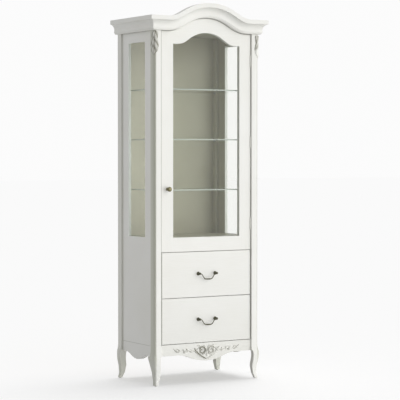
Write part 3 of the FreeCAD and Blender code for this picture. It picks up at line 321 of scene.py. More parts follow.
def rear_shaded_lacquer(name):
    """Upright lacquer under a grey painted shade, most of it on the leg, with cream darkened as
    painted shade on the two faces of a rear post that look into the display space."""
    finish, tree, surface = start_finish(name)
    ridges = grain_ridges(tree, "upright")
    paint = mixed(tree, spread(tree, ridges, 0.35, 0.7, 0.0, 0.6), IVORY, IVORY_SHADE)
    _, y, z, away = own_axes(tree)
    ahead = spread(tree, y, REAR_POST_FRONT_Y + 0.0002, REAR_POST_FRONT_Y + 0.0006, 1.0, 0.0)
    front = calc(tree, "MULTIPLY", ahead, spread(tree, away, *INNER_FACE_X, 1.0, 0.0))
    facing = calc(tree, "MAXIMUM", spread(tree, away, *REAR_IN_X, 1.0, 0.0), front)
    inside = calc(tree, "MULTIPLY", facing, spread(tree, z, JOINT_Z, JOINT_Z + 0.004))
    # Painted shade over the outside of the post, deeper on the leg.
    outside = mixed(tree, spread(tree, z, *REAR_LEG_Z, 0.75, 0.3), paint, PAINTED_POST_SHADE)
    satin(tree, surface, mixed(tree, inside, outside, SHADED_CREAM), ridges, ridges)
    return finish


side_ivory_and_shade = jointed_shaded_lacquer("ivory_lacquer_and_shade_sides")
rear_ivory_and_shade = rear_shaded_lacquer("ivory_lacquer_and_shade_rear_posts")
print("made", side_ivory_and_shade.name, "and", rear_ivory_and_shade.name)

# %% [markdown]
# ## Inside paint, with painted shade, and the back
# Inside, the display space is painted a warmer cream. It is made darker than the paint alone, so
# that it also holds painted shade for the closed space. The back is a thin board, that same cream
# on the side that shows and left plain behind, as cabinets that stand against a wall usually are.
# One
# finish does both faces: it asks how far back the point lies.

# %% Cream inside paint with painted shade, and the back board
BACK_MIDDLE_Y, BACK_CHANGE = 0.216, 0.0005
FIBRE, FIBRE_SHADE, FIBRE_FLECK = tone(190, 164, 128), tone(160, 132, 98), tone(136, 108, 78)


def back_board(name):
    """Cream with painted shade in front of the middle plane, and pressed brown fibre behind it."""
    finish, tree, surface = start_finish(name)
    fibre = cloud(tree, own_place(tree, (1, 1, 1.6)), 900.0, 5.0, 0.7)
    flecks = spread(tree, cloud(tree, own_place(tree), 160.0, 2.0), 0.62, 0.72, 0.0, 0.5)
    rear = spread(tree, own_axes(tree)[1], BACK_MIDDLE_Y - BACK_CHANGE, BACK_MIDDLE_Y + BACK_CHANGE)
    board = mixed(tree, flecks, mixed(tree, fibre, FIBRE, FIBRE_SHADE), FIBRE_FLECK)
    colour = mixed(tree, rear, mixed(tree, drift(tree), SHADED_CREAM, SHADED_CREAM_DARK), board)
    rough = spread(tree, rear, 0.0, 1.0, 0.5, 0.82)
    cover(tree, surface, colour, rough, fibre, strength=0.25, distance=0.0003)
    return finish


inside_shaded_cream = lacquer("shaded_cream_inside_paint", "across", SHADED_CREAM, SHADED_CREAM_DARK)
back_finish = back_board("shaded_cream_and_fibre_board")
print("made", inside_shaded_cream.name, "and", back_finish.name)

# %% [markdown]
# ## Bare beech
# The drawer boxes and runners are unpainted beech: pale, with close growth lines along the board
# and short darker flecks. The packing strips under the cornice are the same wood, stained grey so
# that they don't show. Growth lines are a noise stretched along the grain. The flecks are a second
# one, cut so that only its peaks show.

# %% Beech for the drawer boxes
FLECK_SHARE = 0.6


def beech(name, grain, light=tone(214, 184, 146), dark=tone(188, 150, 110)):
    """Pale wood: bent growth bands, short flecks where a stretched noise peaks, and a fine pore
    bump."""
    finish, tree, surface = start_finish(name)
    lengthwise = own_place(tree, GRAIN[grain])
    bands = cloud(tree, lengthwise, 70.0, 6.0, 0.6)
    flecks = spread(tree, cloud(tree, lengthwise, 700.0, 2.0), 0.62, 0.74, 0.0, 0.55)
    wood = mixed(tree, spread(tree, bands, *NOISE), light, dark)
    fleck_tone = (*(FLECK_SHARE * c for c in dark[:3]), 1.0)
    rough = spread(tree, bands, *NOISE, 0.5, 0.66)
    colour = mixed(tree, flecks, wood, fleck_tone)
    cover(tree, surface, colour, rough, flecks, strength=0.3, distance=0.0004)
    return finish


grey_beech = beech("greyed_beech", "deep", tone(150, 147, 134), tone(134, 130, 116))
beech_finish = {grain: beech(f"bare_beech_{grain}", grain) for grain in ("across", "deep")}
print("made", [finish.name for finish in (grey_beech, *beech_finish.values())])

# %% [markdown]
# ## Window glass
# Panes and shelves are clear float glass with a trace of green, and the edges of the shelves are
# ground, so they show as pale lines. Real glass bends light, and a renderer then has trouble
# finding the lamps through it, so the inside of the cabinet would go dark and grainy. A common cure
# is used: rays that come from lamps, or from a dull surface, pass straight through as if the glass
# were clear air. The panes are given a weaker bend than the shelves, which keeps their reflections
# faint.

# %% Glass for panes and shelves
CLEAR_AIR = (0.96, 0.98, 0.97, 1.0)
EDGE_ROUGH = 0.4


def glass(name, tint, bend, edge=None):
    """Clear glass that lamps shine through. With an edge tone, faces that don't look up or down are
    ground: they take that tone and let no light through."""
    finish, tree, surface = start_finish(name)
    surface.inputs["IOR"].default_value = bend
    if edge is None:
        surface.inputs["Base Color"].default_value = tint
        surface.inputs["Transmission Weight"].default_value = 1.0
        surface.inputs["Roughness"].default_value = 0.0
    else:
        looks = add(tree, "NewGeometry").outputs["Normal"]
        upright = add(tree, "SeparateXYZ", {0: looks}).outputs[2]
        face = spread(tree, calc(tree, "ABSOLUTE", upright), 0.4, 0.6)
        tree.links.new(face, surface.inputs["Transmission Weight"])
        rough = spread(tree, face, 0.0, 1.0, EDGE_ROUGH, 0.0)
        cover(tree, surface, mixed(tree, face, edge, tint), rough)
    path = add(tree, "LightPath").outputs
    clear = calc(tree, "MAXIMUM", path["Is Shadow Ray"], path["Is Diffuse Ray"])
    air = add(tree, "BsdfTransparent", {0: CLEAR_AIR})
    both = add(tree, "MixShader", {0: clear, 1: surface.outputs[0], 2: air.outputs[0]})
    out = next(n for n in tree.nodes if n.type == "OUTPUT_MATERIAL")
    tree.links.new(both.outputs[0], out.inputs["Surface"])
    return finish


pane_glass = glass("pane_glass", (0.965, 0.97, 0.955, 1.0), bend=1.25)
shelf_glass = glass("shelf_glass", (0.985, 0.995, 0.99, 1.0), bend=1.45, edge=tone(160, 166, 157))
print("made", pane_glass.name, "and", shelf_glass.name)

# %% [markdown]
# ## Metals and plastic
# The drawer handles are brass that was darkened and then rubbed, so they are nearly black in the
# hollows and show a greyed metal where fingers pass. The knob is the same brass, rubbed brighter.
# The hinges are painted to match the wood, and screws, magnet and strike are plain steel. Noise
# breaks up each tone and gloss, as handling does.

# %% Brass, steel, painted metal and nylon
WEAR_SCALE = 260.0


def metal(name, dark, bright, smooth, dull, metallic=1.0):
    """Metal whose tone and gloss wander between two values with a fine noise, under long thin
    scratches."""
    finish, tree, surface = start_finish(name)
    wear = cloud(tree, own_place(tree), WEAR_SCALE, 4.0, 0.6)
    scratch = cloud(tree, own_place(tree, (1, 6, 6)), WEAR_SCALE * 5, 3.0)
    colour = mixed(tree, spread(tree, wear, 0.36, 0.66), dark, bright)
    rough = spread(tree, wear, *NOISE, dull, smooth)
    cover(tree, surface, colour, rough, scratch, strength=0.1, distance=0.0002)
    surface.inputs["Metallic"].default_value = metallic
    return finish


def nylon(name):
    """Moulded nylon: off-white with a faint mottled tone and a soft satin gloss."""
    finish, tree, surface = start_finish(name)
    mottle = cloud(tree, own_place(tree), 500.0, 3.0)
    colour = mixed(tree, mottle, tone(206, 204, 196), tone(186, 184, 174))
    cover(tree, surface, colour, spread(tree, mottle, *NOISE, 0.4, 0.55))
    return finish


dark_brass = metal("darkened_brass", tone(56, 56, 47), tone(106, 105, 88), smooth=0.26, dull=0.42)
knob_brass = metal("rubbed_brass", tone(76, 71, 47), tone(138, 133, 106), smooth=0.2, dull=0.36)
steel = metal("bright_steel", tone(150, 150, 150), tone(196, 196, 194), smooth=0.22, dull=0.4)
painted_metal = metal("ivory_painted_metal", tone(226, 226, 218), tone(238, 238, 232), smooth=0.36,
                      dull=0.5, metallic=0.0)
glide_nylon = nylon("glide_nylon")
print("made", [m.name for m in (dark_brass, knob_brass, steel, painted_metal, glide_nylon)])

# %% [markdown]
# ## Dressing the pieces from the drawing
# Each piece from the drawing keeps its mesh and only changes its finish. A table says which: boards
# by the way their grain runs, panes, shelves, and small fittings.

# %% Give each piece its finish
wears = {
    post_ivory_and_shade: "front_left_post front_right_post",
    side_ivory_and_shade: "left_side_panel right_side_panel left_side_apron right_side_apron",
    rear_ivory_and_shade: "rear_left_post rear_right_post",
    ivory["upright"]: "door_left_stile door_right_stile door_glass_beads side_glass_beads",
    ivory["across"]: "door_top_rail door_bottom_rail rear_apron cornice_front arched_rail "
                     "header_board cross_rail drawer_rail top_cap apron_carving",
    drawer_ivory_and_shade: "upper_drawer_front lower_drawer_front",
    apron_shaded_ivory: "front_apron",
    ivory["deep"]: "cornice_left cornice_right post_carvings",
    inside_shaded_cream: "display_floor ceiling_board bottom_board",
    back_finish: "back_panel",
    beech_finish["deep"]: "upper_drawer_sides lower_drawer_sides drawer_runners",
    grey_beech: "cornice_packings",
    beech_finish["across"]: "upper_drawer_back lower_drawer_back "
                            "upper_drawer_bottom lower_drawer_bottom",
    pane_glass: "door_glass left_side_glass right_side_glass",
    shelf_glass: "lower_shelf middle_shelf upper_shelf",
    dark_brass: "upper_handle_posts lower_handle_posts upper_bail lower_bail",
    knob_brass: "door_knob",
    steel: "knob_screw back_panel_screws catch_magnet catch_plate shelf_pins hinge_pins",
    painted_metal: "post_hinge_leaves door_hinge_leaves",
    glide_nylon: "foot_glides",
}
dressed = 0
for finish, names in wears.items():
    for name in names.split():
        mesh = boards[name].data
        mesh.materials.clear()
        mesh.materials.append(finish)
        dressed += 1
print("dressed", dressed, "of", len(boards), "pieces")

# %% [markdown]
# ## Surfaces from rings
# Every new piece below is a stack of closed rings: a round rod, a turned knob and a carved leaf all
# are. With the ring points in one array, the faces follow from counting: point i of a ring joins
# point i + 1 and the same two points of the next ring. Each end closes on one middle point. Carved
# pieces also carry a number per point that says how deep in a hollow it lies.

# %% Rings into a mesh
MM = 0.001


def ring_stack(rings, hollow=None):
    """Points and faces of a stack of rings (rows, points, 3): quads between rows, and a fan to a
    middle point at each end."""
    rows, count = rings.shape[:2]
    row, col = np.meshgrid(np.arange(rows - 1), np.arange(count), indexing="ij")
    after = (col + 1) % count
    here, up = row * count, (row + 1) * count
    quads = np.stack([here + col, here + after, up + after, up + col], -1)
    ends = np.stack([rings[0].mean(0), rings[-1].mean(0)])
    near, following = np.arange(count), (np.arange(count) + 1) % count
    top = (rows - 1) * count
    first = np.stack([np.full(count, rows * count), following, near], -1)
    last = np.stack([np.full(count, rows * count + 1), top + near, top + following], -1)
    points = np.vstack([rings.reshape(-1, 3), ends])
    if hollow is None:
        hollow = np.zeros((rows, count))
    depth = np.append(hollow.reshape(-1), [hollow[0].mean(), hollow[-1].mean()])
    return points, quads.reshape(-1, 4).tolist() + first.tolist() + last.tolist(), depth


def flipped(part):
    """Mirror image across the middle plane, with each face's order turned so that it still looks
    out."""
    points, faces, depth = part
    return points * [-1, 1, 1], [face[::-1] for face in faces], depth


def make_piece(name, parts, finish, body, stands_for=(), crease=40):
    """Joins parts into one object at the origin, smooth but for edges sharper than crease, and
    rides it on its body."""
    starts = np.cumsum([0] + [len(p[0]) for p in parts])
    points = np.vstack([p[0] for p in parts]) * MM
    faces = [[i + int(s) for i in face] for p, s in zip(parts, starts) for face in p[1]]
    mesh = bpy.data.meshes.new(name)
    mesh.from_pydata(points.tolist(), [], faces)
    depth = mesh.attributes.new("hollow", "FLOAT", "POINT")
    depth.data.foreach_set("value", np.concatenate([p[2] for p in parts]).astype(np.float32))
    mesh.polygons.foreach_set("use_smooth", np.ones(len(mesh.polygons), bool))
    mesh.set_sharp_from_angle(angle=math.radians(crease))
    mesh.materials.append(finish)
    mesh.update()
    piece = bpy.data.objects.new(name, mesh)
    bpy.context.scene.collection.objects.link(piece)
    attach(piece, body)
    if stands_for:
        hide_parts(*stands_for)
    print(name, "points", len(mesh.vertices), "faces", len(mesh.polygons))


print("ring helpers ready, sizes in units of", MM, "m")

# %% [markdown]
# ## Curves that the rings follow
# A carver's line and a cast loop are both easy curves through a few places. A spline could be drawn
# by hand in the viewport. Here the places are numbers, and one formula runs a smooth curve through
# them, so a curve is changed by changing a number.

# %% Curves through points
def through(points, count):
    """Smooth curve through given points: between two of them, the cubic whose slope at each
    is half the step from the point before it to the point after it."""
    p = np.asarray(points, float)
    p = np.vstack([2 * p[0] - p[1], p, 2 * p[-1] - p[-2]])
    t = np.linspace(0, len(p) - 3 - 1e-9, count)
    i = t.astype(int)
    f = (t - i)[:, None]
    a, b, c, d = p[i], p[i + 1], p[i + 2], p[i + 3]
    square, cube = 2 * a - 5 * b + 4 * c - d, 3 * b - a - 3 * c + d
    return 0.5 * (2 * b + (c - a) * f + square * f ** 2 + cube * f ** 3)


def along(curve):
    """Direction of the curve at each of its points, of length 1."""
    way = np.gradient(curve, axis=0)
    return way / np.linalg.norm(way, axis=1, keepdims=True)


def full_turn(count):
    """Angles all the way round, evenly apart."""
    return np.linspace(0, 2 * math.pi, count, endpoint=False)


print("curve helpers ready; a curve through 3 points has", len(through(np.eye(3), 30)), "points")

# %% [markdown]
# ## The aged finish and painted shade on carving
# Carving on this kind of cabinet is lacquered like the rest, then a grey-brown glaze is wiped over
# it and stays in the hollows. The same dark tone also stands in as painted shade in the hollows and
# where the carving meets the ground. The number that each carved point carries drives both, with a
# little noise so that it doesn't look drawn.

# %% Lacquer with glaze and painted shade in the hollows
HOLLOW_GLAZE_AND_SHADE = tone(114, 112, 90)


def carved_lacquer(name):
    """Ivory on the ridges, grey-brown glaze and painted shade by the hollow number of the point,
    broken up by a fine noise."""
    finish, tree, surface = start_finish(name)
    depth = add(tree, "Attribute", attribute_name="hollow").outputs["Fac"]
    broken = cloud(tree, own_place(tree), 520.0, 4.0, 0.6)
    deep = calc(tree, "MULTIPLY", depth, spread(tree, broken, 0.25, 0.6, 0.55, 1.0))
    shade = mixed(tree, spread(tree, broken, *NOISE), IVORY, IVORY_SHADE)
    colour = mixed(tree, spread(tree, deep, 0.12, 0.8), shade, HOLLOW_GLAZE_AND_SHADE)
    rough = spread(tree, deep, 0.0, 1.0, 0.38, 0.7)
    cover(tree, surface, colour, rough, broken, strength=0.2, distance=0.0004)
    return finish


carved_ivory_and_shade = carved_lacquer("ivory_lacquer_glaze_and_shade_carved")
print("made", carved_ivory_and_shade.name)

# %% [markdown]
# ## Strokes of the chisel
# The spray on the front apron is low relief: scrolls with a hollow channel, leaves with a middle
# groove and side veins, and thin stems. Each is one stroke, a cross-section carried along a curve
# that lies on the apron's face. The cross-section is a flat back and a shaped front, and it narrows
# to nothing at both ends.

# %% Carved strokes on a flat face
FACE_Y, SUNK = -177.0, 0.4
END_SHARE, RISE_GAIN, RISE_POWER = 0.04, 1.4, 0.8
LEAF_GROOVE, LEAF_VEINS, VEIN_LEAN, SCROLL_GROOVE = 0.16, 5, 0.9, 0.58


def stroke(points, wide, high, kind, rows=56, cols=21):
    """Ring stack of one stroke. At share t along its curve and v across it, from -1 to 1, the front
    stands high times rise(t) times shape(v, t) out of the face, and the half width is half of wide
    times taper(t). A leaf is a dome with a middle groove and slanting veins, a scroll is a channel
    between two ridges, and a stem is a plain dome."""
    path = through(points, rows)
    t = np.linspace(0, 1, rows)[:, None]
    v = np.linspace(-1, 1, cols)[None, :]
    way = along(path)
    side = np.stack([-way[:, 1], way[:, 0]], -1)
    ends = np.sqrt(np.clip(np.minimum(t, 1 - t) / END_SHARE, 0, 1))
    dome = np.sqrt(np.clip(1 - v ** 2, 0, 1))
    if kind == "leaf":
        taper = np.sin(math.pi * t ** 0.8) ** 0.85
        groove = np.exp(-(v / LEAF_GROOVE) ** 2)
        veins = 0.5 + 0.5 * np.cos(2 * math.pi * (LEAF_VEINS * t - VEIN_LEAN * np.abs(v)))
        shape = dome ** 1.2 * (1 - 0.6 * groove) * (1 - 0.35 * veins * np.abs(v))
        hollow = np.maximum(groove, 0.75 * veins ** 3 * np.abs(v)) + np.abs(v) ** 8
    elif kind == "scroll":
        taper = (1 - 0.5 * t) * ends
        groove = np.exp(-(v / SCROLL_GROOVE) ** 4)
        shape = dome ** 0.7 * (1 - 0.72 * groove) + 0 * t
        hollow = groove + 0.8 * np.abs(v) ** 10 + 0 * t
    else:
        taper = (1 - 0.45 * t) * ends
        shape = dome + 0 * t
        hollow = 0.95 * np.abs(v) ** 2 + 0 * t
    half = wide / 2 * taper
    rise = high * np.clip(taper * RISE_GAIN, 0, 1) ** RISE_POWER
    flat = path[:, None, :] + side[:, None, :] * (half * v)[..., None]
    front = np.stack([flat[..., 0], FACE_Y - rise * shape, flat[..., 1]], -1)
    back = np.stack([flat[..., 0], np.full_like(half * v, FACE_Y + SUNK), flat[..., 1]], -1)
    rings = np.concatenate([front, back[:, ::-1]], 1)
    return ring_stack(rings, np.concatenate([np.clip(hollow, 0, 1), np.ones_like(half * v)], 1))


def pearl(x, z, radius, high, rows=9, count=20):
    """Low dome on the face: a ring has radius r * cos(a) and stands high * sin(a) out, for a from 0
    to nearly a right angle."""
    a = np.linspace(0, 0.98 * math.pi / 2, rows)[:, None]
    turn = full_turn(count)[None, :]
    reach = radius * np.cos(a)
    out = FACE_Y + SUNK - high * np.sin(a) + 0 * turn
    rings = np.stack([x + reach * np.cos(turn), out, z + reach * np.sin(turn)], -1)
    return ring_stack(rings, np.cos(a) ** 6 + 0 * turn)


trial_leaf = stroke([(0, 0), (9, 0)], 4, 3, "leaf")
print("stroke kinds: leaf, scroll, stem; faces in one leaf:", len(trial_leaf[1]))

# %% [markdown]
# ## The spray on the apron
# The carver drew one half and turned the pattern over for the other. A scroll curls beside a small
# flower, a stem runs down to the point below it, and leaves run out along the apron. The right half
# gets less of the dark tone: painted light on the half that faces the lamp. The points below are
# places on the apron's face in millimetres: across from the middle, and height above the floor.

# %% Carve the spray
def faded(part, share):
    """Same part with its hollow numbers, and so its glaze and painted shade, cut to a share."""
    points, faces, depth = part
    return points, faces, depth * share


RIGHT_HALF_SHADE, RIGHT_STEM_SHADE, TENDRIL_GLAZE_AND_SHADE = 0.6, 0.05, 0.35
FLOWER_Z = 172.0
stem = stroke([(74, 174), (56, 158.5), (39.5, 146), (20, 134), (2, 125)], 10.5, 7.5, "scroll")
half_spray = [
    stroke([(46, 178), (40, 186.5), (27, 189.5), (14.5, 184), (10, 172.5), (15, 161), (27, 156.5),
            (38.5, 161.5), (40.5, 171), (33.5, 176.5), (27, 173)], 10.5, 8.0, "scroll", rows=110),
    stroke([(79, 187), (63, 172), (50, 157)], 9.0, 5.0, "leaf"),
    stroke([(73, 163), (62, 172), (54, 184)], 8.0, 4.6, "leaf"),
    stroke([(107, 173), (95, 167), (83, 164)], 7.5, 4.4, "leaf"),
    stroke([(126, 186), (119, 177), (118, 166)], 7.5, 4.6, "leaf"),
    stroke([(147, 185), (140, 173), (141, 162)], 7.5, 4.4, "leaf"),
    stroke([(143, 163), (135, 165), (130, 172)], 5.5, 4.0, "leaf"),
    stroke([(199, 186), (188, 176), (176, 170.5), (159, 175)], 9.5, 4.6, "leaf"),
    stroke([(164, 175), (174, 183), (188, 186)], 6.0, 3.8, "leaf"),
    stroke([(8, 158), (18, 151), (30, 150)], 7.0, 4.0, "leaf"),
    faded(stroke([(72, 168), (95, 173), (118, 172), (140, 174), (160, 173)], 4.0, 3.2, "stem"),
          TENDRIL_GLAZE_AND_SHADE),
    faded(stroke([(6, 187), (12, 194), (23, 199)], 7.0, 4.2, "leaf"), TENDRIL_GLAZE_AND_SHADE),
    faded(stroke([(34, 193), (46, 197.5), (60, 198)], 7.0, 4.2, "leaf"), TENDRIL_GLAZE_AND_SHADE),
    pearl(28, 172, 3.8, 5.4), pearl(95, 178, 3.0, 3.8), pearl(201, 188, 2.4, 3.4),
]
petals = [stroke([(r * math.sin(a), FLOWER_Z + r * math.cos(a)) for r in (3, 6, 9)], 5.6, 4.6,
                 "leaf", rows=24, cols=13) for a in np.radians(np.arange(6) * 60)]
drop = stroke([(0, 161), (0, 150), (0, 136)], 10.0, 5.2, "leaf")
middle = [faded(part, TENDRIL_GLAZE_AND_SHADE) for part in petals + [pearl(0, FLOWER_Z, 3.2, 6.0), drop]]
left_half = [flipped(part) for part in half_spray + [stem]]
# Painted light: the right half, which faces the lamp, keeps less of the dark tone.
right_half = [faded(part, RIGHT_HALF_SHADE) for part in half_spray] + [faded(stem, RIGHT_STEM_SHADE)]
make_piece("apron_spray", left_half + right_half + middle, carved_ivory_and_shade, "carcass",
           ["apron_carving"], crease=60)

# %% [markdown]
# ## Acanthus leaves on the posts
# Under the cornice a long leaf hangs on each front post and wraps round its corner. It is one
# sheet: a point is given by how far down the leaf it is and how far across. Across is measured
# along the post's skin, so the leaf bends with it. The relief is a middle rib, a groove beside it,
# and lobes that lean down and outwards. On the right leaf the dark tone thins towards the tip:
# painted light on the leaf that faces the lamp.

# %% Carve the post leaves
POST_X, POST_FACE_Y, POST_R = 320.0, -185.0, 12.0
LEAF_TOP_Z, LEAF_LONG, LEAF_HIGH, LEAF_SHIFT = 1846.0, 126.0, 7.0, 8.0
LEAF_DOWN = [0, 0.03, 0.3, 0.5, 0.64, 0.8, 0.92, 1]
LEAF_HALF = [0, 17.5, 18.5, 22, 26.5, 20, 9, 0]
RIGHT_LEAF_FADE_DOWN, RIGHT_LEAF_SHADE = np.array([0.68, 0.56]), [0.15, 0.9]
LOBES, LOBE_LEAN, LOBE_START, LOBE_CUT = 3.0, 1.2, 0.2, 0.17
LEAF_WRAP, RIB_W, GROOVE_AT = 1.2, 0.075, 0.19


def post_skin(s):
    """Place and outward direction on the right post's skin, s millimetres round from the middle of
    its round corner: towards the side for s above 0 and towards the front below it."""
    quarter = POST_R * math.pi / 4
    turn = np.clip(s, -quarter, quarter) / POST_R - math.pi / 4
    past = s - np.clip(s, -quarter, quarter)
    out = np.stack([np.cos(turn), np.sin(turn)], -1)
    place = np.array([POST_X - POST_R, POST_FACE_Y + POST_R]) + POST_R * out
    return place + past[..., None] * np.stack([-np.sin(turn), np.cos(turn)], -1), out


def acanthus(rows=150, cols=61):
    """Leaf with v down it and u across it from -1 to 1. Its half width follows LEAF_HALF, cut in by
    a share of up to LOBE_CUT where the rim dips between lobes. Its height is LEAF_HIGH times a dome
    over u, times lobes |sin(pi * p)| with p = LOBES * v - LOBE_LEAN * |u| + LOBE_START, plus a rib
    in the middle and less a groove beside it."""
    v = np.linspace(0, 1, rows)[:, None]
    u = np.linspace(-1, 1, cols)[None, :]
    edge = np.abs(u)
    wide = np.interp(v, LEAF_DOWN, LEAF_HALF)
    lobe = np.abs(np.sin(math.pi * (LOBES * v - LOBE_LEAN * edge + LOBE_START))) ** 0.8
    rim = np.abs(np.sin(math.pi * (LOBES * v - LOBE_LEAN + LOBE_START))) ** 0.65
    half = LEAF_WRAP * wide * (1 - LOBE_CUT + LOBE_CUT * rim)
    s = u * half + LEAF_SHIFT * np.clip(v / 0.5, 0, 1) ** 0.5
    rib = np.exp(-(u / RIB_W) ** 2)
    beside = np.exp(-((edge - GROOVE_AT) / RIB_W) ** 2)
    ends = np.clip(np.minimum(v / 0.03, (1 - v) / 0.1), 0, 1) ** 0.6
    dome = np.clip(1 - edge ** 5, 0, 1) ** 0.5
    relief = 0.3 + 0.62 * lobe * (1 - 0.3 * edge) + 0.3 * rib - 0.22 * beside
    high = LEAF_HIGH * ends * dome * relief
    hollow = 0.34 + 0.46 * (1 - lobe) ** 0.8 + 0.3 * beside + 0.45 * edge ** 5 - 0.25 * rib
    hollow = np.clip(hollow, 0, 1)
    place, out = post_skin(s)
    z = np.broadcast_to(LEAF_TOP_Z - LEAF_LONG * v, s.shape)
    front = np.concatenate([place + out * high[..., None], z[..., None]], -1)
    back = np.concatenate([place - out * SUNK, z[..., None]], -1)
    rings = np.concatenate([front, back[:, ::-1]], 1)
    return ring_stack(rings, np.concatenate([hollow, np.ones_like(hollow)], 1))


right_leaf = acanthus()
# Painted light: less of the dark tone towards the tip of the right leaf.
right_leaf_shade_share = np.interp(right_leaf[0][:, 2], LEAF_TOP_Z - LEAF_LONG * RIGHT_LEAF_FADE_DOWN, RIGHT_LEAF_SHADE)
make_piece("post_leaves", [faded(right_leaf, right_leaf_shade_share), flipped(right_leaf)], carved_ivory_and_shade, "carcass",
           ["post_carvings"], crease=70)

# %% [markdown]
# ## Turned fittings
# Knob and handle posts are turned on a lathe, so each is a profile swept round an axis that points
# out of the door or the drawer. A profile is a list of distances from the wood and radii. A smooth
# curve through them rounds the shoulders, and a sphere's own formula makes the ball.

# %% Lathe and door knob
def turned(seat, profile, count=48):
    """Ring stack about a line that leaves the seat along -Y: a ring lies at distance d from the
    seat, with radius r."""
    distance, radius = np.asarray(profile, float).T
    turn = full_turn(count)[None, :]
    x = seat[0] + radius[:, None] * np.cos(turn)
    z = seat[2] + radius[:, None] * np.sin(turn)
    y = seat[1] - distance[:, None] + 0 * turn
    return ring_stack(np.stack([x, y, z], -1))


def ball(middle, radius, rows=25):
    """Profile of a sphere: at distance d, the root of radius squared less (d - middle) squared."""
    d = np.linspace(middle - 0.92 * radius, middle + 0.999 * radius, rows)
    return np.stack([d, np.sqrt(np.clip(radius ** 2 - (d - middle) ** 2, 0, None))], -1)


KNOB_SEAT = (-240.0, FACE_Y, 1025.54)
knob_shoulders = [(1.2, 8.5), (2.1, 7.9), (2.6, 6.7), (3.6, 5.5), (6, 4.8), (10, 4.6), (14, 5.2),
                  (17, 8.2), (19.2, 11.3), (21.5, 12.8), (24, 12.9), (26.5, 12), (28.6, 9.6),
                  (30.2, 6), (30.9, 2.4), (31, 0.05)]
knob_curve = np.vstack([[(0, 8.5), (1.2, 8.5)], through(knob_shoulders, 90)])
make_piece("turned_door_knob", [turned(KNOB_SEAT, knob_curve)], knob_brass, "door",
           ["door_knob"], crease=50)

# %% [markdown]
# ## Handle posts and their nuts
# Each drawer handle hangs from two little posts: a stepped rose against the wood, a waisted neck
# and a ball that the bail turns in. A stud goes through the drawer front to a nut inside. The nut
# is the same lathe with six sides.

# %% Handle posts
HANDLE_Z = {"lower": 336.75, "upper": 578.25}
HANDLE_HALF, NUT_Y, STUD_Y = 52.0, -153.3, -152.4
post_curve = np.vstack([
    [(0, 10), (0.9, 10)], through([(0.9, 10), (1.6, 9.6), (1.9, 8.6)], 9),
    [(1.95, 8.2), (2.3, 8.1)],
    through([(2.3, 8.1), (3.2, 7.7), (4.4, 6.6), (6.2, 5.6), (8.6, 5.1), (11, 5.2)], 30),
    [(11.2, 5.7), (12.2, 5.7)], ball(18.0, 6.9)[4:],
])
nut_curve = [(0, 3.6), (0.5, 4.6), (3.0, 4.6), (3.0, 5.4), (3.7, 5.4)]
stud_curve = [(0, 1.2), (0.4, 1.9), (20, 1.9)]
for drawer, height in HANDLE_Z.items():
    parts = []
    for x in (-HANDLE_HALF, HANDLE_HALF):
        parts.append(turned((x, FACE_Y, height), post_curve))
        parts.append(turned((x, NUT_Y, height), nut_curve, count=6))
        parts.append(turned((x, STUD_Y, height), stud_curve, count=20))
    make_piece(f"{drawer}_turned_posts", parts, dark_brass, f"{drawer}_drawer",
               [f"{drawer}_handle_posts"], crease=35)

# %% [markdown]
# ## Bails
# The bail is a cast brass loop that swings in the two balls. It leaves each ball level, turns down
# in an easy curve and swells towards the middle, where the hand pulls. So it is a circle carried
# along the loop, with a radius that grows towards the middle and two small collars where the swell
# starts.

# %% Swing the bails
BAIL_Y, BAIL_R = -195.0, 2.2
SWELL, SWELL_X = 1.6, 18.0
COLLAR, COLLAR_X, COLLAR_W = 0.7, 24.0, 1.1
half_loop = [(53, 0), (46.5, 0), (42.5, -1.5), (38, -5.6), (32.5, -13.5), (26.5, -21.8), (21, -27),
             (12, -29), (0, -29)]


def bail(height, rows=150, count=20):
    """Tube round the loop: its radius is BAIL_R, plus SWELL * exp(-(x / SWELL_X)^2) in the middle,
    plus collars of COLLAR * exp(-((|x| - COLLAR_X) / COLLAR_W)^2)."""
    loop = through([(-x, z) for x, z in half_loop] + half_loop[-2::-1], rows)
    way = along(loop)
    off = np.abs(loop[:, 0])
    swell = SWELL * np.exp(-(off / SWELL_X) ** 2)
    radius = (BAIL_R + swell + COLLAR * np.exp(-((off - COLLAR_X) / COLLAR_W) ** 2))[:, None]
    turn = full_turn(count)
    up = np.stack([-way[:, 1], way[:, 0]], -1)[:, None, :] * (radius * np.cos(turn))[..., None]
    y = BAIL_Y + radius * np.sin(turn)
    x, z = loop[:, None, 0] + up[..., 0], height + loop[:, None, 1] + up[..., 1]
    return ring_stack(np.stack([x, y, z], -1))


for drawer, height in HANDLE_Z.items():
    make_piece(f"{drawer}_cast_bail", [bail(height)], dark_brass, f"{drawer}_bail",
               [f"{drawer}_bail"])

# %% [markdown]
# ## Screws in the back
# Nine dome-headed screws hold the back board. A cross-shaped recess is a small thing, but from
# behind it tells a screw from a dowel. The head is the lathe again, and its front is pushed in
# wherever a point lies within the cross.

# %% Back screws
BACK_Y, SCREW_ROWS, SCREW_COLUMNS = 219.0, (197.0, 760.0, 1859.0), (-208.5, 0.0, 208.5)
RIM, SKIRT = 0.5, -0.3
CROSS_DEEP, CROSS_HALF, CROSS_REACH, CROSS_SLOPE = 1.1, 0.62, 2.3, 0.25


